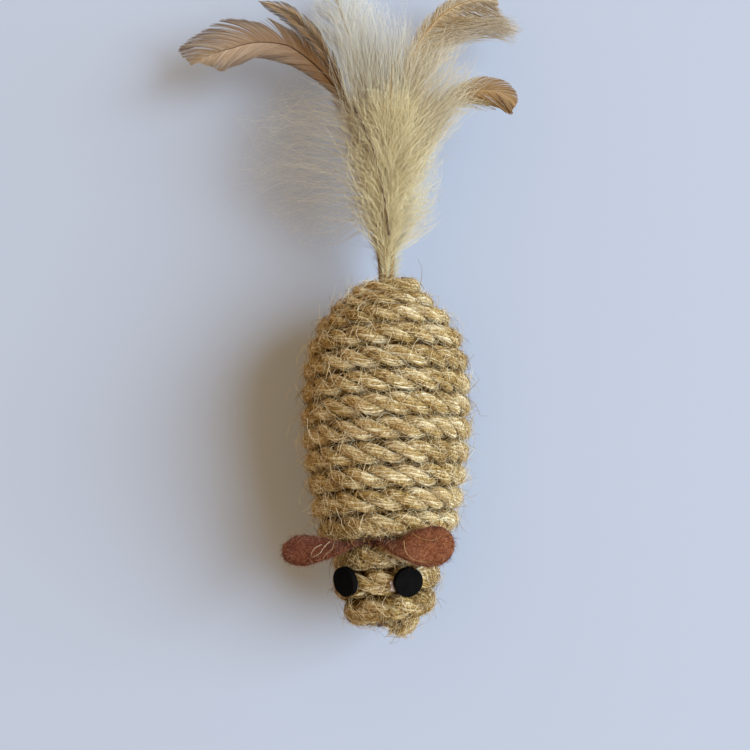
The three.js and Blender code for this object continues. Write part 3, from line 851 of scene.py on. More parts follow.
# seat, bend, lean and rise are degrees, angles are radians, and other sizes are millimetres.
# firm_from is the share of the length where down turns into a vane, and a plume has none.
feathers = {
    "feather_sickle": dict(
        length=110, left=8.6, right=6.8, seat=210, bend=-112, power=2.25, lean=-6, rise=-1.5,
        vane_from=0.42, shares=paddle_shares, angles=(0.48, 0.58), down_reach=4.6, tip_close=0.7,
        stem_shift=[(0.5, 0), (0.7, 0.6), (0.78, 2.8), (0.86, 5.6), (0.93, 6.6), (1, 6.9)],
        slot="feather_tan"),
    "feather_striped": dict(
        length=91, left=2.6, right=2.2, seat=150, bend=-65, power=3.8, lean=-10, rise=1,
        vane_from=0.35, shares=hackle_shares, angles=(0.4, 0.3), down_reach=3.0,
        slot="feather_tan"),
    "feather_cream": dict(
        length=92, left=8.5, right=8.5, seat=270, bend=-16, power=4, lean=-9, rise=-6,
        vane_from=0.45, shares=spoon_shares, angles=(0.75, 0.5), down_reach=6.5,
        stem_shift=[(0.3, 0), (0.42, 1.2), (0.48, 1.3), (0.54, 0.4), (0.6, -0.7), (0.66, -0.8),
                    (0.8, 0)],
        slot="feather_cream"),
    "feather_tan": dict(
        length=93, left=3.8, right=13.5, seat=330, bend=115, power=4.5, lean=1, rise=-2.5,
        vane_from=0.38, shares=spoon_shares, angles=(0.8, 1.0), down_reach=7.0,
        slot="feather_tan"),
    "feather_golden_tip": dict(
        length=71, left=4.2, right=5.4, seat=30, bend=145, power=3.2, lean=6.5, rise=3,
        vane_from=0.3, firm_from=0.66, shares=spoon_shares, angles=(0.8, 0.6),
        down_reach=4.5, slot="feather_golden"),
    "down_plume": dict(
        length=58, left=8.6, right=9.0, seat=90, bend=0, power=1.5, lean=5, rise=14,
        vane_from=0.1, firm_from=2, shares=plume_shares, angles=(0.46, 0.56), down_reach=3.4,
        slot="down"),
}

# %% A feather's guide line
tail_pivot = np.array([0, 34.5074, axis_height])
seat_circle = 1.6
quill_radius = 0.5
quill_inner_length = 3.2
quill_straight_length = 1.6
settle_share = 0.125
feather_steps = 260
stem_taper = 0.78
closing_from = 0.86
usual_tip_close = 0.3
longest_barb = 40
reach_step = 0.1
# the down turns firm from just before to some way after the vane's start, and near the root it
# is short: shares of the feather's length, and shares of the down's reach there
firm_before, firm_after = 0.02, 0.12
down_growth = [0.0, 0.06, 0.15], [0.2, 0.4, 1.0]


def barb_angle(sizes, share):
    """How far the barbs lean away from the stem. They close up towards the tip."""
    root_angle, tip_angle = sizes["angles"]
    close = np.interp(share, [closing_from, 1.0],
                      [1.0, sizes.get("tip_close", usual_tip_close)])
    return (root_angle + (tip_angle - root_angle) * share) * close


def stem_shift(sizes, share):
    """How far the stem lies to the left of the middle of the blade."""
    return float(np.interp(share, *zip(*sizes.get("stem_shift", [(0, 0)]))))


def barb_reach(sizes, label, share):
    """How long a barb is that leaves the stem here and ends at the blade's outline."""
    angle = barb_angle(sizes, share)
    sign = 1 if label == "right" else -1
    reach = 0.0
    while reach < longest_barb:
        ahead = share + reach * math.cos(angle) / sizes["length"]
        inside = (ahead - sizes["vane_from"]) / (1 - sizes["vane_from"])
        edge = np.interp(inside, *zip(*sizes["shares"])) * sizes[label]
        if ahead > 1 or reach * math.sin(angle) - sign * stem_shift(sizes, share) > edge:
            break
        reach += reach_step
    return reach


def smoothed(column, width=17):
    """The values with each one replaced by the mean of its neighbours."""
    padded = np.pad(column, width // 2, mode="edge")
    return np.convolve(padded, np.ones(width) / width, mode="valid")


def feather_guide(name, sizes):
    """The stem's line and, at each point, the barbs' reach, the way across and how loose it is."""
    seat = math.radians(sizes["seat"])
    ring = np.array([math.cos(seat), 0, math.sin(seat)]) * seat_circle
    points = [tail_pivot + ring - (0, quill_inner_length, 0)]
    rows = [dict(share=0.0, left=0.0, right=0.0, stem=quill_radius * mm, angle=0.5, loose=1.0,
                 follow=0.0, side=(1, 0, 0), up=(0, 0, 1))]
    place = tail_pivot + ring + (0, quill_straight_length, 0)
    length, power = sizes["length"], sizes["power"]
    start = sizes.get("firm_from", sizes["vane_from"])
    reaches = {label: smoothed([barb_reach(sizes, label, step / feather_steps)
                                for step in range(feather_steps + 1)])
               for label in ("left", "right")}
    for step in range(feather_steps + 1):
        share = step / feather_steps
        settle = min(1.0, share / settle_share)
        heading = math.radians(settle * sizes["lean"] + sizes["bend"] * share ** power)
        climb = math.radians(settle * sizes["rise"])
        along = np.array([math.sin(heading) * math.cos(climb),
                          math.cos(heading) * math.cos(climb), math.sin(climb)])
        side = np.array([math.cos(heading), -math.sin(heading), 0])
        points.append(place - side * stem_shift(sizes, share))
        place += along * length / feather_steps

        loose = float(np.interp(share, [start - firm_before, start + firm_after], [1.0, 0.0]))
        down = loose * np.interp(share, *down_growth)
        angle = barb_angle(sizes, share)
        row = {label: max(column[step], down * sizes["down_reach"] / math.sin(angle)) * mm
               for label, column in reaches.items()}
        longest = max(column[step] for column in reaches.values())
        ahead = min(max(share, share + longest * math.cos(angle) / length), 1.0)
        rows.append(dict(
            row, share=share, angle=angle, loose=loose, side=tuple(side),
            up=tuple(np.cross(side, along)), stem=quill_radius * (1 - stem_taper * share) * mm,
            follow=math.radians(sizes["bend"] * (ahead ** power - share ** power))))
    return guide_line(name + "_guide", [[tuple(point * mm) for point in points]],
                      **{label: [[row[label] for row in rows]] for label in rows[0]})


# %% Tree for a feather
barb_segments = 7
barb_clearance = 0.6 * mm
stem_shade = 2.0  # the shades of barbs are 0 to 1


def barb_side(tree, path, label, sign):
    """The barbs on one side of the stem, as lines. The sign is -1 for left and 1 for right."""
    points = tree.resampled(path, tree["barbs"])
    length = tree.length()
    seed = tree["seed"] + (3 if sign > 0 else 7)
    group = tree.calculate("FLOOR", length / tree["clump"]
                           + tree.noise(length * 900.0 + sign * 5.0, detail=1.0) * 1.6)
    points = tree.store(points, ahead=tree.tangent(), shade=tree.random(seed + 20),
                        clump=tree.random(seed, -1.0, identity=group))
    ahead, side, up = (tree.vector(name) for name in ("ahead", "side", "up"))
    clump, shade, loose = (tree.attribute(name) for name in ("clump", "shade", "loose"))

    angle = tree.attribute("angle") + clump * tree["splits"] + tree.random(
        seed + 40, -1.0) * (loose * 0.35 + tree["mess"])
    direction = (ahead * tree.calculate("COSINE", angle)
                 + side * float(sign) * tree.calculate("SINE", angle)
                 + up * (tree.random(seed + 60, -1.0) * (loose * 0.5 + tree["depth"])))
    uneven = tree.random(seed + 80, -1.0) * (tree["mess"] * 0.7 + 0.01)
    reach = tree.attribute(label) * (uneven + 1.0) * (
        1.0 - loose * tree.random(seed + 90, 0.0, 0.55))
    lines = sprouted(tree, points, tree.calculate("NORMALIZE", direction), up, reach,
                     barb_segments)

    out = tree.attribute("out")
    reach = tree.attribute("reach")
    bow = out * out * reach
    lines = tree.moved(lines, ahead * (bow * tree["curl"])
                       + side * (bow * tree.attribute("follow") * 0.5)
                       + up * (bow * (tree["camber"] * -1.0)
                               + out * reach * clump * tree["lifted"]))
    lines = tree.moved(lines, wobble(tree, 170.0, shade * 90.0)
                       * (reach * out * (loose + tree["mess"]) * 1.4))
    return tree.raised(lines, shade * barb_clearance + floor_gap)


def feather_tree():
    tree = GeometryNodes("feather", barbs=420, seed=1, bare_share=0.1, stem_share=0.96,
                         vane_share=1.0, barb_radius=0.115 * mm, down_radius=0.05 * mm,
                         camber=0.12, curl=0.22, splits=0.07, lifted=0.06, clump=2.4 * mm,
                         mess=0.02, depth=0.02)
    vane = tree.trimmed(tree.path(), Start=tree["bare_share"], End=tree["vane_share"])
    sides = tree.joined(barb_side(tree, vane, "left", -1), barb_side(tree, vane, "right", 1))
    radius = tree.mixed(tree.attribute("loose"), tree["barb_radius"], tree["down_radius"])
    barbs = tree.swept(sides, 3, 1.0, radius * (1.0 - tree.attribute("out") * 0.55))
    stem = tree.trimmed(tree.path(), End=tree["stem_share"])
    stem = tree.store(stem, out=0.0, shade=stem_shade)
    stem = tree.swept(stem, 6, 1.0, tree.attribute("stem"))
    return tree.ends(tree.joined(stem, barbs))


feather_nodes = feather_tree()

# %% [markdown]
# Feather colours run along the barbs and along the stem, so the materials read the same values
# that the tree leaves on the barbs: the place along the stem, how far out on the barb a point
# is, and a random shade for each barb. A warm base, a paler or darker edge and a coloured tip are
# enough for all six, since noise over those two places makes the mottling.

# %% Feather materials
bleached_colour = paint(236, 226, 208)


def feather_finish(name, base, edge, tip, mottle, stem, tip_from=0.85, edge_from=0.6,
                   mottling=0.4, stripes=0.0, down=paint(206, 188, 146), bleached=0.4):
    """Colours of the barbs' root, edge and tip, of the spots and of the stem and the down."""
    finish = Finish(name, roughness=0.75, specular_ior_level=0.25, sheen_weight=0.25,
                    sheen_roughness=0.5)
    share = finish.attribute("share")
    out = finish.attribute("out")
    shade = finish.attribute("shade")
    colour = finish.blend(finish.spread(out, edge_from, 1.0), base, edge)
    reach = share + (finish.noise(out * 3.0 + shade, detail=1.0) - 0.5) * 0.1
    colour = finish.blend(finish.spread(reach, tip_from, tip_from + 0.08), colour, tip)
    colour = finish.blend(finish.attribute("loose"), colour, down)
    spots = finish.add("ShaderNodeCombineXYZ", {0: share * 60.0, 1: out * 3.0})
    spots = finish.spread(finish.noise(spots, detail=3.0), 0.42, 0.68)
    colour = finish.blend(spots * mottling, colour, mottle)
    if stripes:
        bands = finish.calculate("SINE", out * stripes + shade * 0.8)
        colour = finish.blend(finish.spread(bands, -0.2, 0.5), colour, mottle)
    streak = finish.calculate("MINIMUM", shade, 1.0)
    colour = finish.blend(streak * streak * bleached, colour, bleached_colour)
    on_stem = finish.calculate("GREATER_THAN", shade, (1.0 + stem_shade) / 2)
    return finish.painted(finish.blend(on_stem, colour, stem))


down_finish = feather_finish(
    "down", paint(226, 208, 156), paint(230, 216, 176), paint(230, 220, 190),
    paint(206, 178, 124), paint(140, 108, 62), edge_from=0.4, mottling=0.45,
    down=paint(228, 210, 158), bleached=0.25)
veil_finish = feather_finish(
    "pale down", paint(206, 192, 158), paint(212, 207, 194), paint(212, 207, 194),
    paint(196, 182, 150), paint(190, 176, 150), edge_from=0.1, bleached=0.2)
white_finish = feather_finish(
    "white down", paint(232, 226, 206), paint(238, 236, 226), paint(238, 236, 226),
    paint(222, 214, 190), paint(206, 196, 170), edge_from=0.1, bleached=0.3)
beige_finish = feather_finish(
    "beige down", paint(222, 204, 156), paint(202, 184, 150), paint(202, 184, 150),
    paint(186, 160, 116), paint(150, 120, 80), edge_from=0.1, bleached=0.2)
feather_materials = {
    "feather_sickle": feather_finish(
        "sickle feather", paint(164, 130, 98), paint(126, 94, 66), paint(140, 106, 68),
        paint(190, 164, 134), paint(90, 62, 40), down=paint(184, 150, 108), bleached=0.3),
    "feather_striped": feather_finish(
        "striped feather", paint(168, 132, 86), paint(222, 210, 190), paint(176, 140, 92),
        paint(92, 68, 40), paint(112, 84, 52), stripes=9.0),
    "feather_cream": feather_finish(
        "cream feather", paint(206, 198, 178), paint(222, 218, 206), paint(214, 208, 190),
        paint(186, 172, 142), paint(132, 104, 68), down=paint(204, 192, 158)),
    "feather_tan": feather_finish(
        "tan feather", paint(192, 164, 118), paint(200, 182, 154), paint(184, 162, 130),
        paint(166, 132, 82), paint(150, 112, 60), edge_from=0.2, down=paint(196, 178, 134)),
    "feather_golden_tip": feather_finish(
        "golden feather", paint(196, 172, 124), paint(194, 168, 120), paint(150, 112, 60),
        paint(140, 104, 56), paint(140, 106, 58), tip_from=0.72, mottling=0.25,
        down=paint(206, 192, 156), bleached=0.2),
    "down_plume": down_finish,
}

# %% Make the feathers
feather_sizes = {
    "feather_sickle": dict(barbs=1100, seed=11, bare_share=0.06, stem_share=0.93, mess=0.01,
                           splits=0.035, curl=0.03, barb_radius=0.135 * mm),
    "feather_striped": dict(barbs=460, seed=12, bare_share=0.06, curl=0.05),
    "feather_cream": dict(barbs=640, seed=13, bare_share=0.04, mess=0.12, splits=0.12,
                          barb_radius=0.055 * mm, down_radius=0.045 * mm, depth=0.12,
                          curl=0.05),
    "feather_tan": dict(barbs=1500, seed=14, bare_share=0.05, mess=0.16, splits=0.08,
                        barb_radius=0.075 * mm, depth=0.2),
    "feather_golden_tip": dict(barbs=620, seed=15, bare_share=0.05, stem_share=0.9, mess=0.03,
                               splits=0.05, barb_radius=0.12 * mm),
    "down_plume": dict(barbs=1500, seed=16, bare_share=0.02, vane_share=0.72, mess=0.1,
                       splits=0.1, depth=0.25),
}
for name, sizes in feathers.items():
    guide = feather_guide(name, sizes)
    piece = feather_nodes.run(guide, name + "_barbs", material=feather_materials[name],
                              **feather_sizes[name])
    bpy.data.objects.remove(guide)
    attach(piece, "feather_tail")
    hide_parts(name)

# %% [markdown]
# ### Wisps
#
# The softest barbs have lost their neighbours and float round the bundle as wisps. They don't
# follow one stem, so each group is described by two lines in the photographed picture: where its
# wisps leave the bundle and where they end. Every wisp joins a random place of the first line to
# about the same place of the second, with a slight bow, and the tree that sprouts lines draws it.

# %% Places in the picture
def camera_ray(pixel):
    """The way from the camera through a pixel of the picture."""
    across, down = pixel
    return (camera_right * (across - target_pixel[0]) + camera_up * (target_pixel[1] - down)
            - towards_camera * focal_pixels)


def at_height(pixel, height):
    """The place at this height above the floor that the camera sees at a pixel."""
    ray = camera_ray(pixel)
    return np.array(camera_place + ray * ((height * mm - camera_place.z) / ray.z)) / mm


# %% Tree for wisps
wisp_segments = 8
wisp_floor_gap = 0.4 * mm


def wisp_tree():
    tree = GeometryNodes("wisps", wisp_radius=0.04 * mm, bend=0.5, curl=120.0)
    points = tree.add("GeometryNodeMeshToPoints", {0: tree.guide})
    lines = sprouted(tree, points, tree.vector("way"), tree.vector("bow"),
                     tree.attribute("length"), wisp_segments)
    out = tree.attribute("out")
    reach = tree.attribute("reach")
    hump = out * (1.0 - out) * reach
    lines = tree.moved(lines, tree.vector("bow") * hump + wobble(
        tree, tree["curl"], tree.attribute("shade") * 90.0) * (reach * out * out * tree["bend"]))
    return tree.ends(tree.hairs(tree.raised(lines, wisp_floor_gap), tree["wisp_radius"], 0.5))


wisp_nodes = wisp_tree()

# %% Groups of wisps
# starts and ends are places in the picture, and heights are how high they lie, in millimetres.
# spread is in pixels, and radius in millimetres.
wisps = {
    "left_wisps": dict(
        starts=[(354, 112), (360, 145), (368, 190), (376, 230)],
        ends=[(290, 92), (252, 112), (246, 150), (264, 205), (322, 250)],
        heights=(25, 8), count=420, spread=9, bowed=0.8, seed=21, finish=white_finish,
        radius=0.036),
    "right_wisps": dict(
        starts=[(384, 132), (394, 140), (404, 150), (408, 175)],
        ends=[(398, 26), (430, 38), (466, 58), (476, 86), (448, 110), (424, 165)],
        heights=(28, 26), count=1700, spread=13, bowed=0.3, seed=22, finish=beige_finish,
        radius=0.045),
    "top_wisps": dict(
        starts=[(364, 128), (378, 130), (394, 134)],
        ends=[(324, -6), (348, -12), (370, -6), (388, 12), (402, 30)],
        heights=(28, 27), count=1000, spread=13, bowed=0.25, seed=23, finish=veil_finish,
        radius=0.042),
    "low_wisps": dict(
        starts=[(406, 170), (410, 205), (404, 248)],
        ends=[(432, 150), (440, 200), (438, 226)],
        heights=(26, 22), count=200, spread=6, bowed=0.5, seed=24, finish=beige_finish,
        radius=0.035),
}
print("wisps", sum(group["count"] for group in wisps.values()))

# %% Make the wisps
height_spread = 2
end_shuffle = 0.1
kept_lengths = 0.4, 1.06
wisp_share = 0.4


def near_line(random, line, share, height, spread):
    """A random place near this share of a line in the picture."""
    share = min(max(share, 0), 1)
    pixel = [np.interp(share, np.linspace(0, 1, len(line)), column)
             + random.normal(0, spread * 0.6) for column in zip(*line)]
    return at_height(pixel, height + random.uniform(-height_spread, height_spread))


for name, group in wisps.items():
    random = np.random.default_rng(group["seed"])
    rows = []
    for _ in range(group["count"]):
        share = random.uniform()
        end_share = share + random.normal(0, end_shuffle)
        start, end = (near_line(random, group[label], where, height, group["spread"])
                      for label, where, height in zip(
                          ("starts", "ends"), (share, end_share), group["heights"]))
        way = (end - start) * random.uniform(*kept_lengths)
        length = np.linalg.norm(way)
        bow = np.cross(way / length, (0, 0, 1)) * random.normal(0.4, 0.6) + (
            0, 0, random.uniform(0, 1))
        rows.append((tuple(start * mm), tuple(way / length), tuple(bow * group["bowed"]),
                     length * mm, random.uniform()))
    starts, ways, bows, lengths, shades = zip(*rows)
    guide = guide_line(name + "_guide", [starts], way=[ways], bow=[bows], length=[lengths],
                       shade=[shades], share=[[wisp_share] * len(rows)])
    piece = wisp_nodes.run(guide, name, material=group["finish"],
                           wisp_radius=group["radius"] * mm)
    bpy.data.objects.remove(guide)
    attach(piece, "feather_tail")

# %% [markdown]
# ## Felt ears
#
# One strip of felt is trapped between two turns of the rope, where it is pinched to a narrow
# waist, and its two free ends spread out as the ears. Felt is cut cloth with a thick soft edge, so
# each half is a smooth shell swept through the same stations as the solid strip: a place along
# the strip, a half width, how far it rises out of the groove and how far it has turned flat. The
# halves meet in the middle of the groove.

# %% Felt strip
# sizes of the solid model, in millimetres
felt_thickness = 1.2
ear_strip_half_length = 20.8
ear_strip_shift = 1.3
right_ear_back = 0.9
ear_half_width = 4.9
left_ear_flatten = math.radians(17)
right_ear_flatten = math.radians(44)
# (share of the half length, of the half width, rise out of the groove, share of the turning)
waist_stations = [(0, 0.17, 0.1, 0), (0.08, 0.18, 0.1, 0), (0.15, 0.25, 0.26, 0)]
ear_stations = [(0.26, 0.4, 0.64, 0.1), (0.35, 0.54, 0.84, 0.3), (0.48, 0.76, 0.98, 0.65),
                (0.62, 0.93, 1.04, 0.9), (0.74, 1.0, 1.02, 1), (0.84, 0.95, 1.0, 1),
                (0.91, 0.8, 0.97, 1), (0.965, 0.54, 0.94, 1), (0.992, 0.28, 0.925, 1),
                (1, 0.06, 0.92, 1)]

shoulder_top = np.array(on_winding(shoulder_turn)) / mm
head_top = np.array(on_winding(shoulder_turn + 1)) / mm
groove_middle = (shoulder_top + head_top) / 2
groove_back = (shoulder_top - head_top) / np.linalg.norm(shoulder_top - head_top)
groove_up = np.cross((1, 0, 0), groove_back)
groove_up /= np.linalg.norm(groove_up)
groove_tilt = math.atan2(groove_up[2], -groove_up[1])

felt_sides = 28
felt_relief = 0.16
felt_sway = 0.12
# painted shade in the groove at the waist: dark at the middle, none halfway out
groove_shade_shares = [0.16, 0.5], [0.95, 0.0]


def felt_half(name, side):
    """A closed shell for one half of the strip. side is -1 for the left, 1 for the right."""
    flatten = right_ear_flatten if side > 0 else left_ear_flatten
    back = right_ear_back if side > 0 else 0.0
    rows = smooth_curve(waist_stations + ear_stations, fineness=7)
    random = np.random.default_rng(4 + side)
    waves = random.uniform(0.5, 1.6, (6, 2))
    phases = random.uniform(0, 2 * math.pi, 6)
    verts, rim_shades, groove_shades = [], [], []
    for along, wide, rise, turned in rows:
        tilt = groove_tilt - max(turned, 0) * flatten
        across = np.array([0, -math.cos(tilt), math.sin(tilt)])
        through = np.array([0, math.sin(tilt), math.cos(tilt)])
        middle = groove_middle + groove_up * rise * ear_half_width
        middle[0] = side * along * ear_strip_half_length - ear_strip_shift
        middle[1] += max(turned, 0) * back
        for point in range(felt_sides):
            angle = 2 * math.pi * point / felt_sides
            over = math.copysign(abs(math.cos(angle)) ** 0.55, math.cos(angle))
            out = math.copysign(abs(math.sin(angle)) ** 0.8, math.sin(angle))
            spot = np.array([middle[0], over * wide * ear_half_width])
            relief = sum(math.sin(wave @ spot + phase) for wave, phase in zip(waves, phases))
            thick = felt_thickness / 2 * (out + relief / 6 * felt_relief)
            thick += over * over * felt_sway * math.sin(middle[0] * 0.9)
            verts.append(tuple((middle + across * over * wide * ear_half_width
                                + through * thick) * mm))
            # painted shade: darker towards the rim and in the groove at the waist
            rim_shades.append(abs(over) ** 4)
            groove_shades.append(np.interp(along, *groove_shade_shares))
    faces = []
    for row in range(len(rows) - 1):
        for point in range(felt_sides):
            a = row * felt_sides + point
            b = row * felt_sides + (point + 1) % felt_sides
            faces.append((a, b, b + felt_sides, a + felt_sides)[::side])
    faces.append(tuple(range(felt_sides))[::-side])
    faces.append(tuple(range((len(rows) - 1) * felt_sides, len(rows) * felt_sides))[::side])
    mesh = bpy.data.meshes.new(name)
    mesh.from_pydata(verts, [], faces)
    mark(mesh, "rim", rim_shades)
    mark(mesh, "pinched", groove_shades)
    mesh.shade_smooth()
    print(name, len(verts), "vertices")
    return placed(name, mesh)


# %% [markdown]
# Felt is a mat of fibres with no weave. Its material mixes two scales of noise, one for the
# mottling and one for single fibres. It has painted shade at the cut rim and in the groove at the
# waist. A strong sheen gives the pale bloom that felt has at a glancing angle. Real fibres stand
# off it too: a tree scatters them over the shell's faces, which catches the light at the outline
# as no material can.

# %% Felt material and fuzz
def felt_finish(name, dark, middle, light):
    finish = Finish(name, roughness=0.95, specular_ior_level=0.08, sheen_weight=0.12,
                    sheen_roughness=0.5)
    place = finish.place()
    mottle = finish.noise(place, scale=700.0, detail=4.0, roughness=0.65)
    fibre = finish.noise(place, scale=2600.0, detail=3.0, roughness=0.7)
    tone = mottle * 0.4 + fibre * 0.6
    colour = finish.ramp(finish.spread(tone, 0.25, 0.75), (0.0, dark), (0.5, middle),
                         (1.0, light))
    # painted shade at the cut rim and in the groove at the waist
    shaded = finish.calculate("MAXIMUM", finish.attribute("rim") * 0.6,
                              finish.attribute("pinched"))
    return finish.painted(finish.blend(shaded, colour, paint(40, 16, 8)), tone, 0.3 * mm)


# The left ear's felt is painted darker than the right's: painted shade, as that ear faces away
# from the lamp.
felt_materials = {
    "left_ear": felt_finish("shaded felt", paint(56, 22, 10), paint(98, 46, 24),
                            paint(140, 80, 52)),
    "right_ear": felt_finish("felt", paint(76, 36, 20), paint(130, 76, 48), paint(180, 122, 88)),
}


def felt_fuzz_finish():
    finish = Finish("felt fibre", roughness=0.9, specular_ior_level=0.1)
    shade = finish.attribute("shade")
    fine = finish.noise(finish.place(), scale=1500.0, detail=1.0)
    return finish.painted(finish.ramp(
        shade * 0.8 + fine * 0.3, (0.1, paint(70, 32, 18)), (0.55, paint(122, 68, 44)),
        (0.95, paint(190, 136, 106))))


felt_fuzz_material = felt_fuzz_finish()


def felt_fuzz_tree():
    tree = GeometryNodes("felt fuzz", density=1.1e7, seed=1, shortest=0.6 * mm,
                         longest=2.0 * mm, lift=0.25, bend=1.2, fibre_radius=0.04 * mm)
    seed = tree["seed"]
    scattered = tree.add("GeometryNodeDistributePointsOnFaces", {
        "Mesh": tree.guide, "Density": tree["density"], "Seed": seed})
    points = tree.store(scattered, normal_out=scattered.output(1), shade=tree.random(seed + 1))
    normal = tree.vector("normal_out")
    anywhere = tree.add("ShaderNodeCombineXYZ", {
        axis: tree.random(seed + 2 + axis, -1.0) for axis in range(3)})
    lie = tree.calculate("NORMALIZE", tree.calculate("CROSS_PRODUCT", normal, anywhere))
    direction = lie + normal * (tree.random(seed + 5) * tree["lift"])
    reach = tree.random(seed + 6, tree["shortest"], tree["longest"])
    lines = sprouted(tree, points, tree.calculate("NORMALIZE", direction), normal, reach, 3)
    lines = tree.moved(lines, wobble(tree, 700.0, tree.attribute("shade") * 60.0)
                       * (tree.attribute("reach") * tree.attribute("out") * tree["bend"]))
    return tree.ends(tree.hairs(lines, tree["fibre_radius"], 0.5))


felt_fuzz_nodes = felt_fuzz_tree()
ear_hinges = {"left_ear": -5.81, "right_ear": 3.21}  # millimetres to the right
hinge_run = 1.3
for ear, side in (("left_ear", -1), ("right_ear", 1)):
    felt = felt_half(ear + "_felt", side)
    felt.data.materials.append(felt_materials[ear])
    fuzz = felt_fuzz_nodes.run(felt, ear + "_fuzz", material=felt_fuzz_material, seed=70 + side)
    start = Vector((ear_hinges[ear] - side * hinge_run, 0, 0)) * mm
    end = Vector((ear_hinges[ear] + side * hinge_run, 0, 0)) * mm
    for piece in (felt, fuzz):
        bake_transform(piece)
    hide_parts(ear)
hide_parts("ear_strip_waist")

# %% [markdown]
# ## Eyes
#
# The eyes are discs punched from black foam rubber: matt, with a cut edge that is only just
# rounded. A profile turned round an axis makes such a disc. The same few lines later make the
# smooth foam body inside the rope. Each disc is tilted towards the nose, as the head slopes there.

# %% Turned pieces
def turned(name, profile, sides=64):
    """A closed mesh from a profile of (radius, height) pairs that starts and ends on the axis."""
    verts, faces = [(0, 0, profile[0][1] * mm)], []
    for radius, height in profile[1:-1]:
        for side in range(sides):
            angle = 2 * math.pi * side / sides
            verts.append((radius * math.cos(angle) * mm, radius * math.sin(angle) * mm,
                          height * mm))
    verts.append((0, 0, profile[-1][1] * mm))
    for side in range(sides):
        after = (side + 1) % sides
        faces.append((0, 1 + after, 1 + side))
        faces.append((len(verts) - 1, len(verts) - 1 - sides + side,
                      len(verts) - 1 - sides + after))
        for ring in range(len(profile) - 3):
            a = 1 + ring * sides
            faces.append((a + side, a + after, a + sides + after, a + sides + side))
    mesh = bpy.data.meshes.new(name)
    mesh.from_pydata(verts, [], faces)
    mesh.shade_smooth()
    return placed(name, mesh)


# %% Eye discs
rim_steps = 5
eye_radius = eye_diameter / 2
eye_profile = [(0, 0), (eye_radius - 0.15, 0), (eye_radius - 0.03, 0.06), (eye_radius, 0.2),
               (eye_radius, eye_thickness - eye_round)]
for step in range(1, rim_steps + 1):
    angle = math.pi / 2 * step / rim_steps
    eye_profile.append((eye_radius - eye_round * (1 - math.cos(angle)),
                        eye_thickness - eye_round * (1 - math.sin(angle))))
eye_profile += [(eye_radius * share, eye_thickness + eye_crown * (1 - share ** 2))
                for share in (0.85, 0.6, 0.3)]
eye_profile.append((0, eye_thickness + eye_crown))


def foam_finish(name, dark, light, cell_scale, stain_scale, cell_share, span, relief,
                **constants):
    """Foam: fine cells and larger stains, mixed by the cells' share."""
    finish = Finish(name, **constants)
    cells = finish.noise(finish.place(), scale=cell_scale, detail=3.0, roughness=0.6)
    stains = finish.noise(finish.place(), scale=stain_scale)
    tone = finish.spread(cells * cell_share + stains * (1.0 - cell_share), *span)
    return finish.painted(finish.blend(tone, dark, light), cells, relief)


eye_material = foam_finish(
    "eye foam rubber", paint(7, 6, 5), paint(16, 14, 12), cell_scale=3200.0, stain_scale=500.0,
    cell_share=0.6, span=(0.35, 0.7), relief=0.06 * mm, roughness=0.8, specular_ior_level=0.03)
for side_name, place in eye_places.items():
    piece = turned(side_name + "_eye_disc", eye_profile)
    piece.data.transform(place)
    piece.data.materials.append(eye_material)
    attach(piece, "mouse")
    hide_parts(side_name + "_eye")
    print(piece.name, len(piece.data.vertices), "vertices")

# %% [markdown]
# ## Glue and foam
#
# Glue holds the strip, the eyes, the nose and the quills. Beads that stay hidden keep their solid
# shape and only get a material. The two that show, at the nose and beside the right eye, are
# lumps of dried glue: a ball pushed in and out by noise. The foam body shows a little between the
# turns and in the tail hole, so it is turned from the rope's own outline. Its dark brown is
# painted shade, for the deep gaps between the turns.

# %% Glue
def glue_finish(name, dark, light):
    finish = Finish(name, roughness=0.4, specular_ior_level=0.5, coat_weight=0.2,
                    subsurface_weight=0.15, subsurface_scale=0.6 * mm)
    haze = finish.spread(finish.noise(finish.place(), scale=900.0, detail=3.0), 0.35, 0.7)
    return finish.painted(finish.blend(haze, dark, light), haze, 0.1 * mm)


glue_material = glue_finish("dried glue", paint(150, 130, 96), paint(196, 184, 160))
for node in ("ear_strip_glue", "left_eye_glue", "right_eye_glue", "tail_glue_plug"):
    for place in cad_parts[node].material_slots:
        place.material = glue_material
smear_material = glue_finish("glue smear", paint(120, 94, 72), paint(172, 146, 124))
amber_material = glue_finish("amber glue", paint(84, 58, 28), paint(136, 106, 64))


def glue_lump(name, material, centre, radii, roughness, turned_by=Euler()):
    """A closed lump of glue: a ball pushed in and out by noise."""
    shape = bmesh.new()
    bmesh.ops.create_icosphere(shape, subdivisions=4, radius=1.0)
    for vert in shape.verts:
        push = 1.0 + roughness * noise.fractal(vert.co * 1.7 + Vector(centre), 0.8, 2.0, 3)
        vert.co = Vector([part * radius for part, radius in zip(vert.co * push, radii)])
        vert.co.rotate(turned_by)
        vert.co = (vert.co + Vector(centre)) * mm
    mesh = bpy.data.meshes.new(name)
    shape.to_mesh(mesh)
    shape.free()
    mesh.shade_smooth()
    mesh.materials.append(material)
    piece = placed(name, mesh)
    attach(piece, "mouse")
    print(name, len(mesh.vertices), "vertices")
    return piece


low, high = (Vector(corner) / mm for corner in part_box("nose_glue"))
nose_lump = glue_lump("nose_glue_lump", amber_material, (low + high) / 2, (high - low) / 2, 0.35)
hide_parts("nose_glue")
beside_eye = eye_places["right"] @ Vector((-3.5 * mm, -1.1 * mm, 0.1 * mm)) / mm
glue_lump("eye_glue_smear", smear_material, beside_eye, (0.9, 1.4, 0.3), 0.5,
          Euler((0, eye_angle, 0.2)))

# %% Foam body
core_tail = 24.367
core_nose = -51.663
core_gap = 0.12
core_rope_depth = rope_diameter / 2 + core_gap
socket_radius = 2.9
socket_depth = 9
foam_rings = 60
least_foam_radius = 1.2

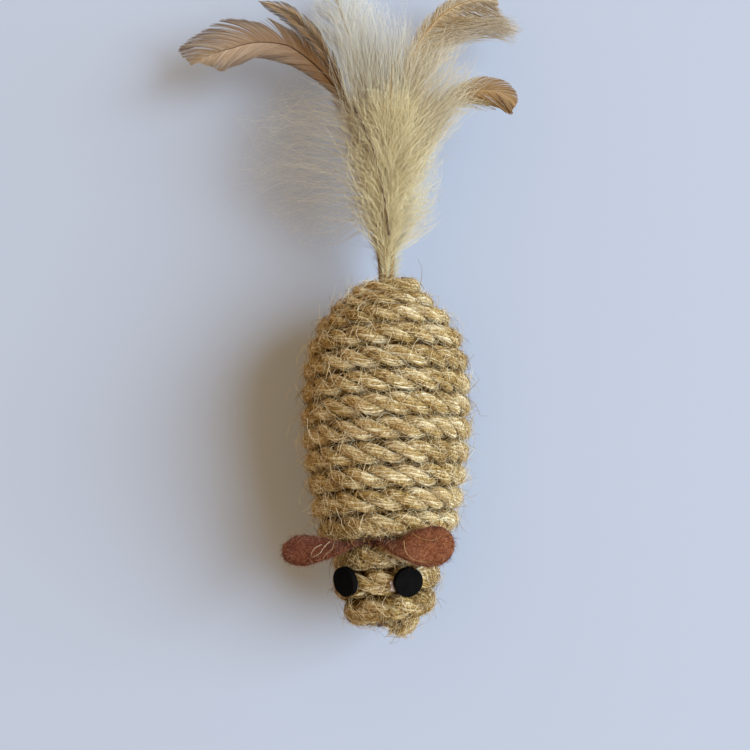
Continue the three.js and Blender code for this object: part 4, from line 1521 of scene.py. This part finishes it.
foam_profile = [(0, core_nose), (nose_turn_radius - core_rope_depth, core_nose)]
for along in np.linspace(core_nose + 1.5, core_tail - 0.6, foam_rings):
    wide = np.interp(-along, -outline[:, 1], outline[:, 0]) - core_rope_depth
    foam_profile.append((max(wide, least_foam_radius), along))
foam_profile += [(foam_profile[-1][0] - 0.3, core_tail), (socket_radius, core_tail),
                 (socket_radius, core_tail - socket_depth), (0, core_tail - socket_depth)]

# painted shade: the foam is dark brown so that the deep gaps between the turns look shaded
foam_shade_material = foam_finish(
    "moulded foam", paint(84, 58, 30), paint(118, 90, 54), cell_scale=1500.0, stain_scale=120.0,
    cell_share=0.7, span=(0.3, 0.7), relief=0.2 * mm, roughness=0.92, specular_ior_level=0.2)
foam = turned("foam_body", foam_profile, sides=96)
foam.data.transform(Matrix.Translation((0, -rest_along * mm, axis_height * mm))
                    @ Matrix.Rotation(-math.pi / 2, 4, "X"))
foam.data.materials.append(foam_shade_material)
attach(foam, "mouse")
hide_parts("foam_core")
print("foam body", len(foam.data.vertices), "vertices")

# %% [markdown]
# ## Loose ends, drawn one by one
#
# Some lines are too few or too particular for random numbers: the thread that binds the quills,
# the frayed cut ends of the rope, and the long pale fibres that lie across the photographed toy.
# Each is a list of points, smoothed and then swept by one small tree. A fibre seen in the
# photograph is given by its place in the picture, and is laid on the solid that the camera sees
# there, so it rests on the toy from every side.

# %% Drawn lines
def drawn_tree():
    tree = GeometryNodes("drawn lines", line_radius=0.07 * mm, tip_share=0.5, sides=4)
    path = tree.store(tree.path(), along=tree.length(), crest=1.0)
    taper = 1.0 - tree.add("GeometryNodeSplineParameter") * tree["tip_share"]
    return tree.ends(tree.swept(path, tree["sides"], tree["line_radius"], taper))


drawn_nodes = drawn_tree()


def drawn(name, lines, body, slot, material, shade_range=(0.3, 1.0), **sizes):
    """One piece from lists of points in millimetres."""
    lines = [[tuple(point * mm) for point in smooth_curve(line, 4)] for line in lines]
    shades = np.random.default_rng(len(lines)).uniform(*shade_range, len(lines))
    guide = guide_line(name + "_guide", lines, shade=[
        [shade] * len(line) for shade, line in zip(shades, lines)])
    piece = drawn_nodes.run(guide, name, material=material, **sizes)
    bpy.data.objects.remove(guide)
    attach(piece, body)
    return piece


# %% Thread round the quills
binding_radius = 2.75
binding_half_length = 0.36
binding_turns = 4
steps_per_turn = 24
thread_radius = 0.13
thread_points = []
for step in range(binding_turns * steps_per_turn + 1):
    angle = 2 * math.pi * step / steps_per_turn
    across = (step / binding_turns / (steps_per_turn / 2) - 1) * binding_half_length
    thread_points.append(tail_pivot + (binding_radius * math.cos(angle), across,
                                       binding_radius * math.sin(angle)))


def thread_finish():
    finish = Finish("binding thread", roughness=0.7, specular_ior_level=0.3, sheen_weight=0.2)
    twist = finish.calculate("SINE", finish.attribute("along") * 9000.0)
    worn = finish.noise(finish.place(), scale=1800.0)
    tone = finish.spread(twist * 0.25 + worn, 0.3, 0.8)
    colour = finish.blend(tone, paint(96, 72, 44), paint(168, 138, 92))
    return finish.painted(colour, twist, 0.04 * mm)


thread = drawn("quill_thread", [thread_points], "quill_binding", "thread", thread_finish(),
               line_radius=thread_radius * mm, tip_share=0.0, sides=8)
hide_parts("quill_binding")

# %% Frayed ends of the rope
def frayed(end, heading, radius, count, longest, seed):
    """Short bent fibres that leave the cut end of the rope in every direction ahead."""
    random = np.random.default_rng(seed)
    lines = []
    for _ in range(count):
        start = end + random.uniform(-1, 1, 3) * radius
        way = np.array(heading) + random.uniform(-1, 1, 3) * 1.1
        way /= np.linalg.norm(way)
        curl = random.uniform(-1, 1, 3) * 0.8
        reach = random.uniform(0.35, 1.0) * longest
        lines.append([start + (way * part + curl * part ** 2 * 1.4) * reach
                      for part in (0, 0.35, 0.7, 1.0)])
    return lines


nose_end = np.array(rope_points[-1]) / mm
nose_heading = np.array((rope_points[-1] - rope_points[-2]).normalized())
tail_end = np.array(rope_points[0]) / mm
tail_heading = np.array((rope_points[0] - rope_points[1]).normalized())
drawn("frayed_nose_end", frayed(nose_end - nose_heading * 1.4, nose_heading, 2.2, 640, 1.5, 5),
      "mouse", "rope", fuzz_material, sides=3)
drawn("frayed_tail_end", frayed(tail_end, tail_heading, 1.2, 140, 2.8, 6), "mouse", "rope",
      fuzz_material, sides=3)

# %% Laid on the solids
def laid(pixels, nodes, lift):
    """Points on the solids that the camera sees at these places of the picture."""
    verts, faces = [], []
    for node in nodes:
        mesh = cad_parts[node].data
        start = len(verts)
        verts += [vert.co.copy() for vert in mesh.vertices]
        faces += [[start + corner for corner in face.vertices] for face in mesh.polygons]
    surface = BVHTree.FromPolygons(verts, faces)
    points = []
    for pixel in pixels:
        hit = surface.ray_cast(camera_place, camera_ray(pixel).normalized())[0]
        if hit is not None:
            points.append(np.array((hit + towards_camera * lift * mm) / mm))
    return points


# %% Fibres seen in the photograph
body_fibres = [
    [(363, 298), (348, 307), (335, 320), (326, 338)],
    [(357, 316), (368, 320), (376, 331)],
    [(331, 352), (329, 366), (325, 382), (319, 394)],
    [(413, 344), (417, 355), (421, 366)],
    [(305, 431), (310, 428), (315, 423)],
    [(380, 571), (383, 575), (385, 580)],
    [(377, 612), (378, 618), (377, 624)],
    [(341, 553), (338, 562), (339, 568)],
]
left_ear_fibres = [
    [(336, 538), (330, 541), (324, 547), (320, 553), (313, 557)],
    [(334, 543), (332, 549), (326, 554), (323, 558)],
    [(322, 544), (316, 547), (312, 552), (311, 556)],
    [(351, 541), (348, 549), (343, 554)],
]
right_ear_fibres = [
    [(404, 541), (405, 549), (410, 557), (419, 561), (431, 562)],
    [(386, 546), (394, 540), (400, 537)],
    [(412, 533), (420, 538), (433, 540), (441, 536)],
]
stem_pixels = [(347, 96), (353, 107), (362, 124), (372, 148), (380, 176), (385, 205), (389, 236),
               (392, 266)]
for name, fibres, body, nodes, lift, radius in (
        ("body_fibres", body_fibres, "mouse", ["rope_winding"], 1.0, 0.11),
        ("left_ear_fibres", left_ear_fibres, "left_ear", ["left_ear"], 0.7, 0.04),
        ("right_ear_fibres", right_ear_fibres, "right_ear", ["right_ear"], 0.35, 0.06)):
    lines = [laid(pixels, nodes, lift) for pixels in fibres]
    drawn(name, [line for line in lines if len(line) > 1], body, "rope", fuzz_material,
          line_radius=radius * mm)
quill_nodes = ["down_plume", "feather_sickle", "feather_striped", "rope_winding"]
drawn("quill_on_down", [laid(stem_pixels, quill_nodes, 1.2)[::-1]], "feather_tail",
      "feather_tan", feather_materials["feather_sickle"], shade_range=(stem_shade, stem_shade),
      line_radius=0.32 * mm, sides=8)

# %% [markdown]
# ## Floor and light
#
# The toy lies on a plain pale floor. One wide soft lamp stands for a window on the right and is
# cool like daylight, and the rest of the light is warm, as in a room. That makes the toy's right
# side pale, its left side brown, and the shadow beside it warm. Seen from the side, the world
# behind the floor shows as a plain pale wall.

# %% Floor
floor_colour = paint(182, 190, 207)
floor_half = 6.0  # metres
floor_corners = [(across * floor_half, along * floor_half, 0)
                 for across, along in ((-1, -1), (1, -1), (1, 1), (-1, 1))]
floor_mesh = bpy.data.meshes.new("floor")
floor_mesh.from_pydata(floor_corners, [], [(0, 1, 2, 3)])
floor_mesh.materials.append(Finish("pale floor", base_color=floor_colour, roughness=0.95,
                                   specular_ior_level=0.1).material)
floor = placed("floor", floor_mesh)

# %% Light
room_colour = (1.0, 0.72, 0.41, 1.0)
room_strength = 0.57
window_colour = (0.68, 0.85, 1.02)
window_power = 278.0
window_size = 3.2
window_place = Vector((3.15, -0.14, 2.05))
window_aim = Vector((0, 0.02, 0))
wall_colour = paint(186, 191, 202)

world = bpy.data.worlds.new("room")
bpy.context.scene.world = world
world.use_nodes = True
room = Nodes(world.node_tree)
glow = Field(room, room.tree.nodes["Background"].outputs[0])
glow.socket.node.inputs["Color"].default_value = room_colour
glow.socket.node.inputs["Strength"].default_value = room_strength
wall = room.add("ShaderNodeBackground", {"Color": wall_colour})
rays = room.add("ShaderNodeLightPath")
seen = rays.output("Is Camera Ray")
for label in ("Is Glossy Ray", "Is Transmission Ray"):
    seen = room.calculate("MAXIMUM", seen, rays.output(label))
either = room.add("ShaderNodeMixShader", {0: seen, 1: glow, 2: wall})
room.tree.links.new(either.socket, room.tree.nodes["World Output"].inputs["Surface"])

lamp = bpy.data.lights.new("window", "AREA")
lamp.shape = "DISK"
lamp.size = window_size
lamp.energy = window_power
lamp.color = window_colour
window = placed("window", lamp)
window.location = window_place
window.rotation_euler = (window_aim - window_place).to_track_quat("-Z", "Y").to_euler()
bpy.context.scene.view_settings.view_transform = "Standard"
print("lamp", round((window_place - window_aim).length, 2), "m away")
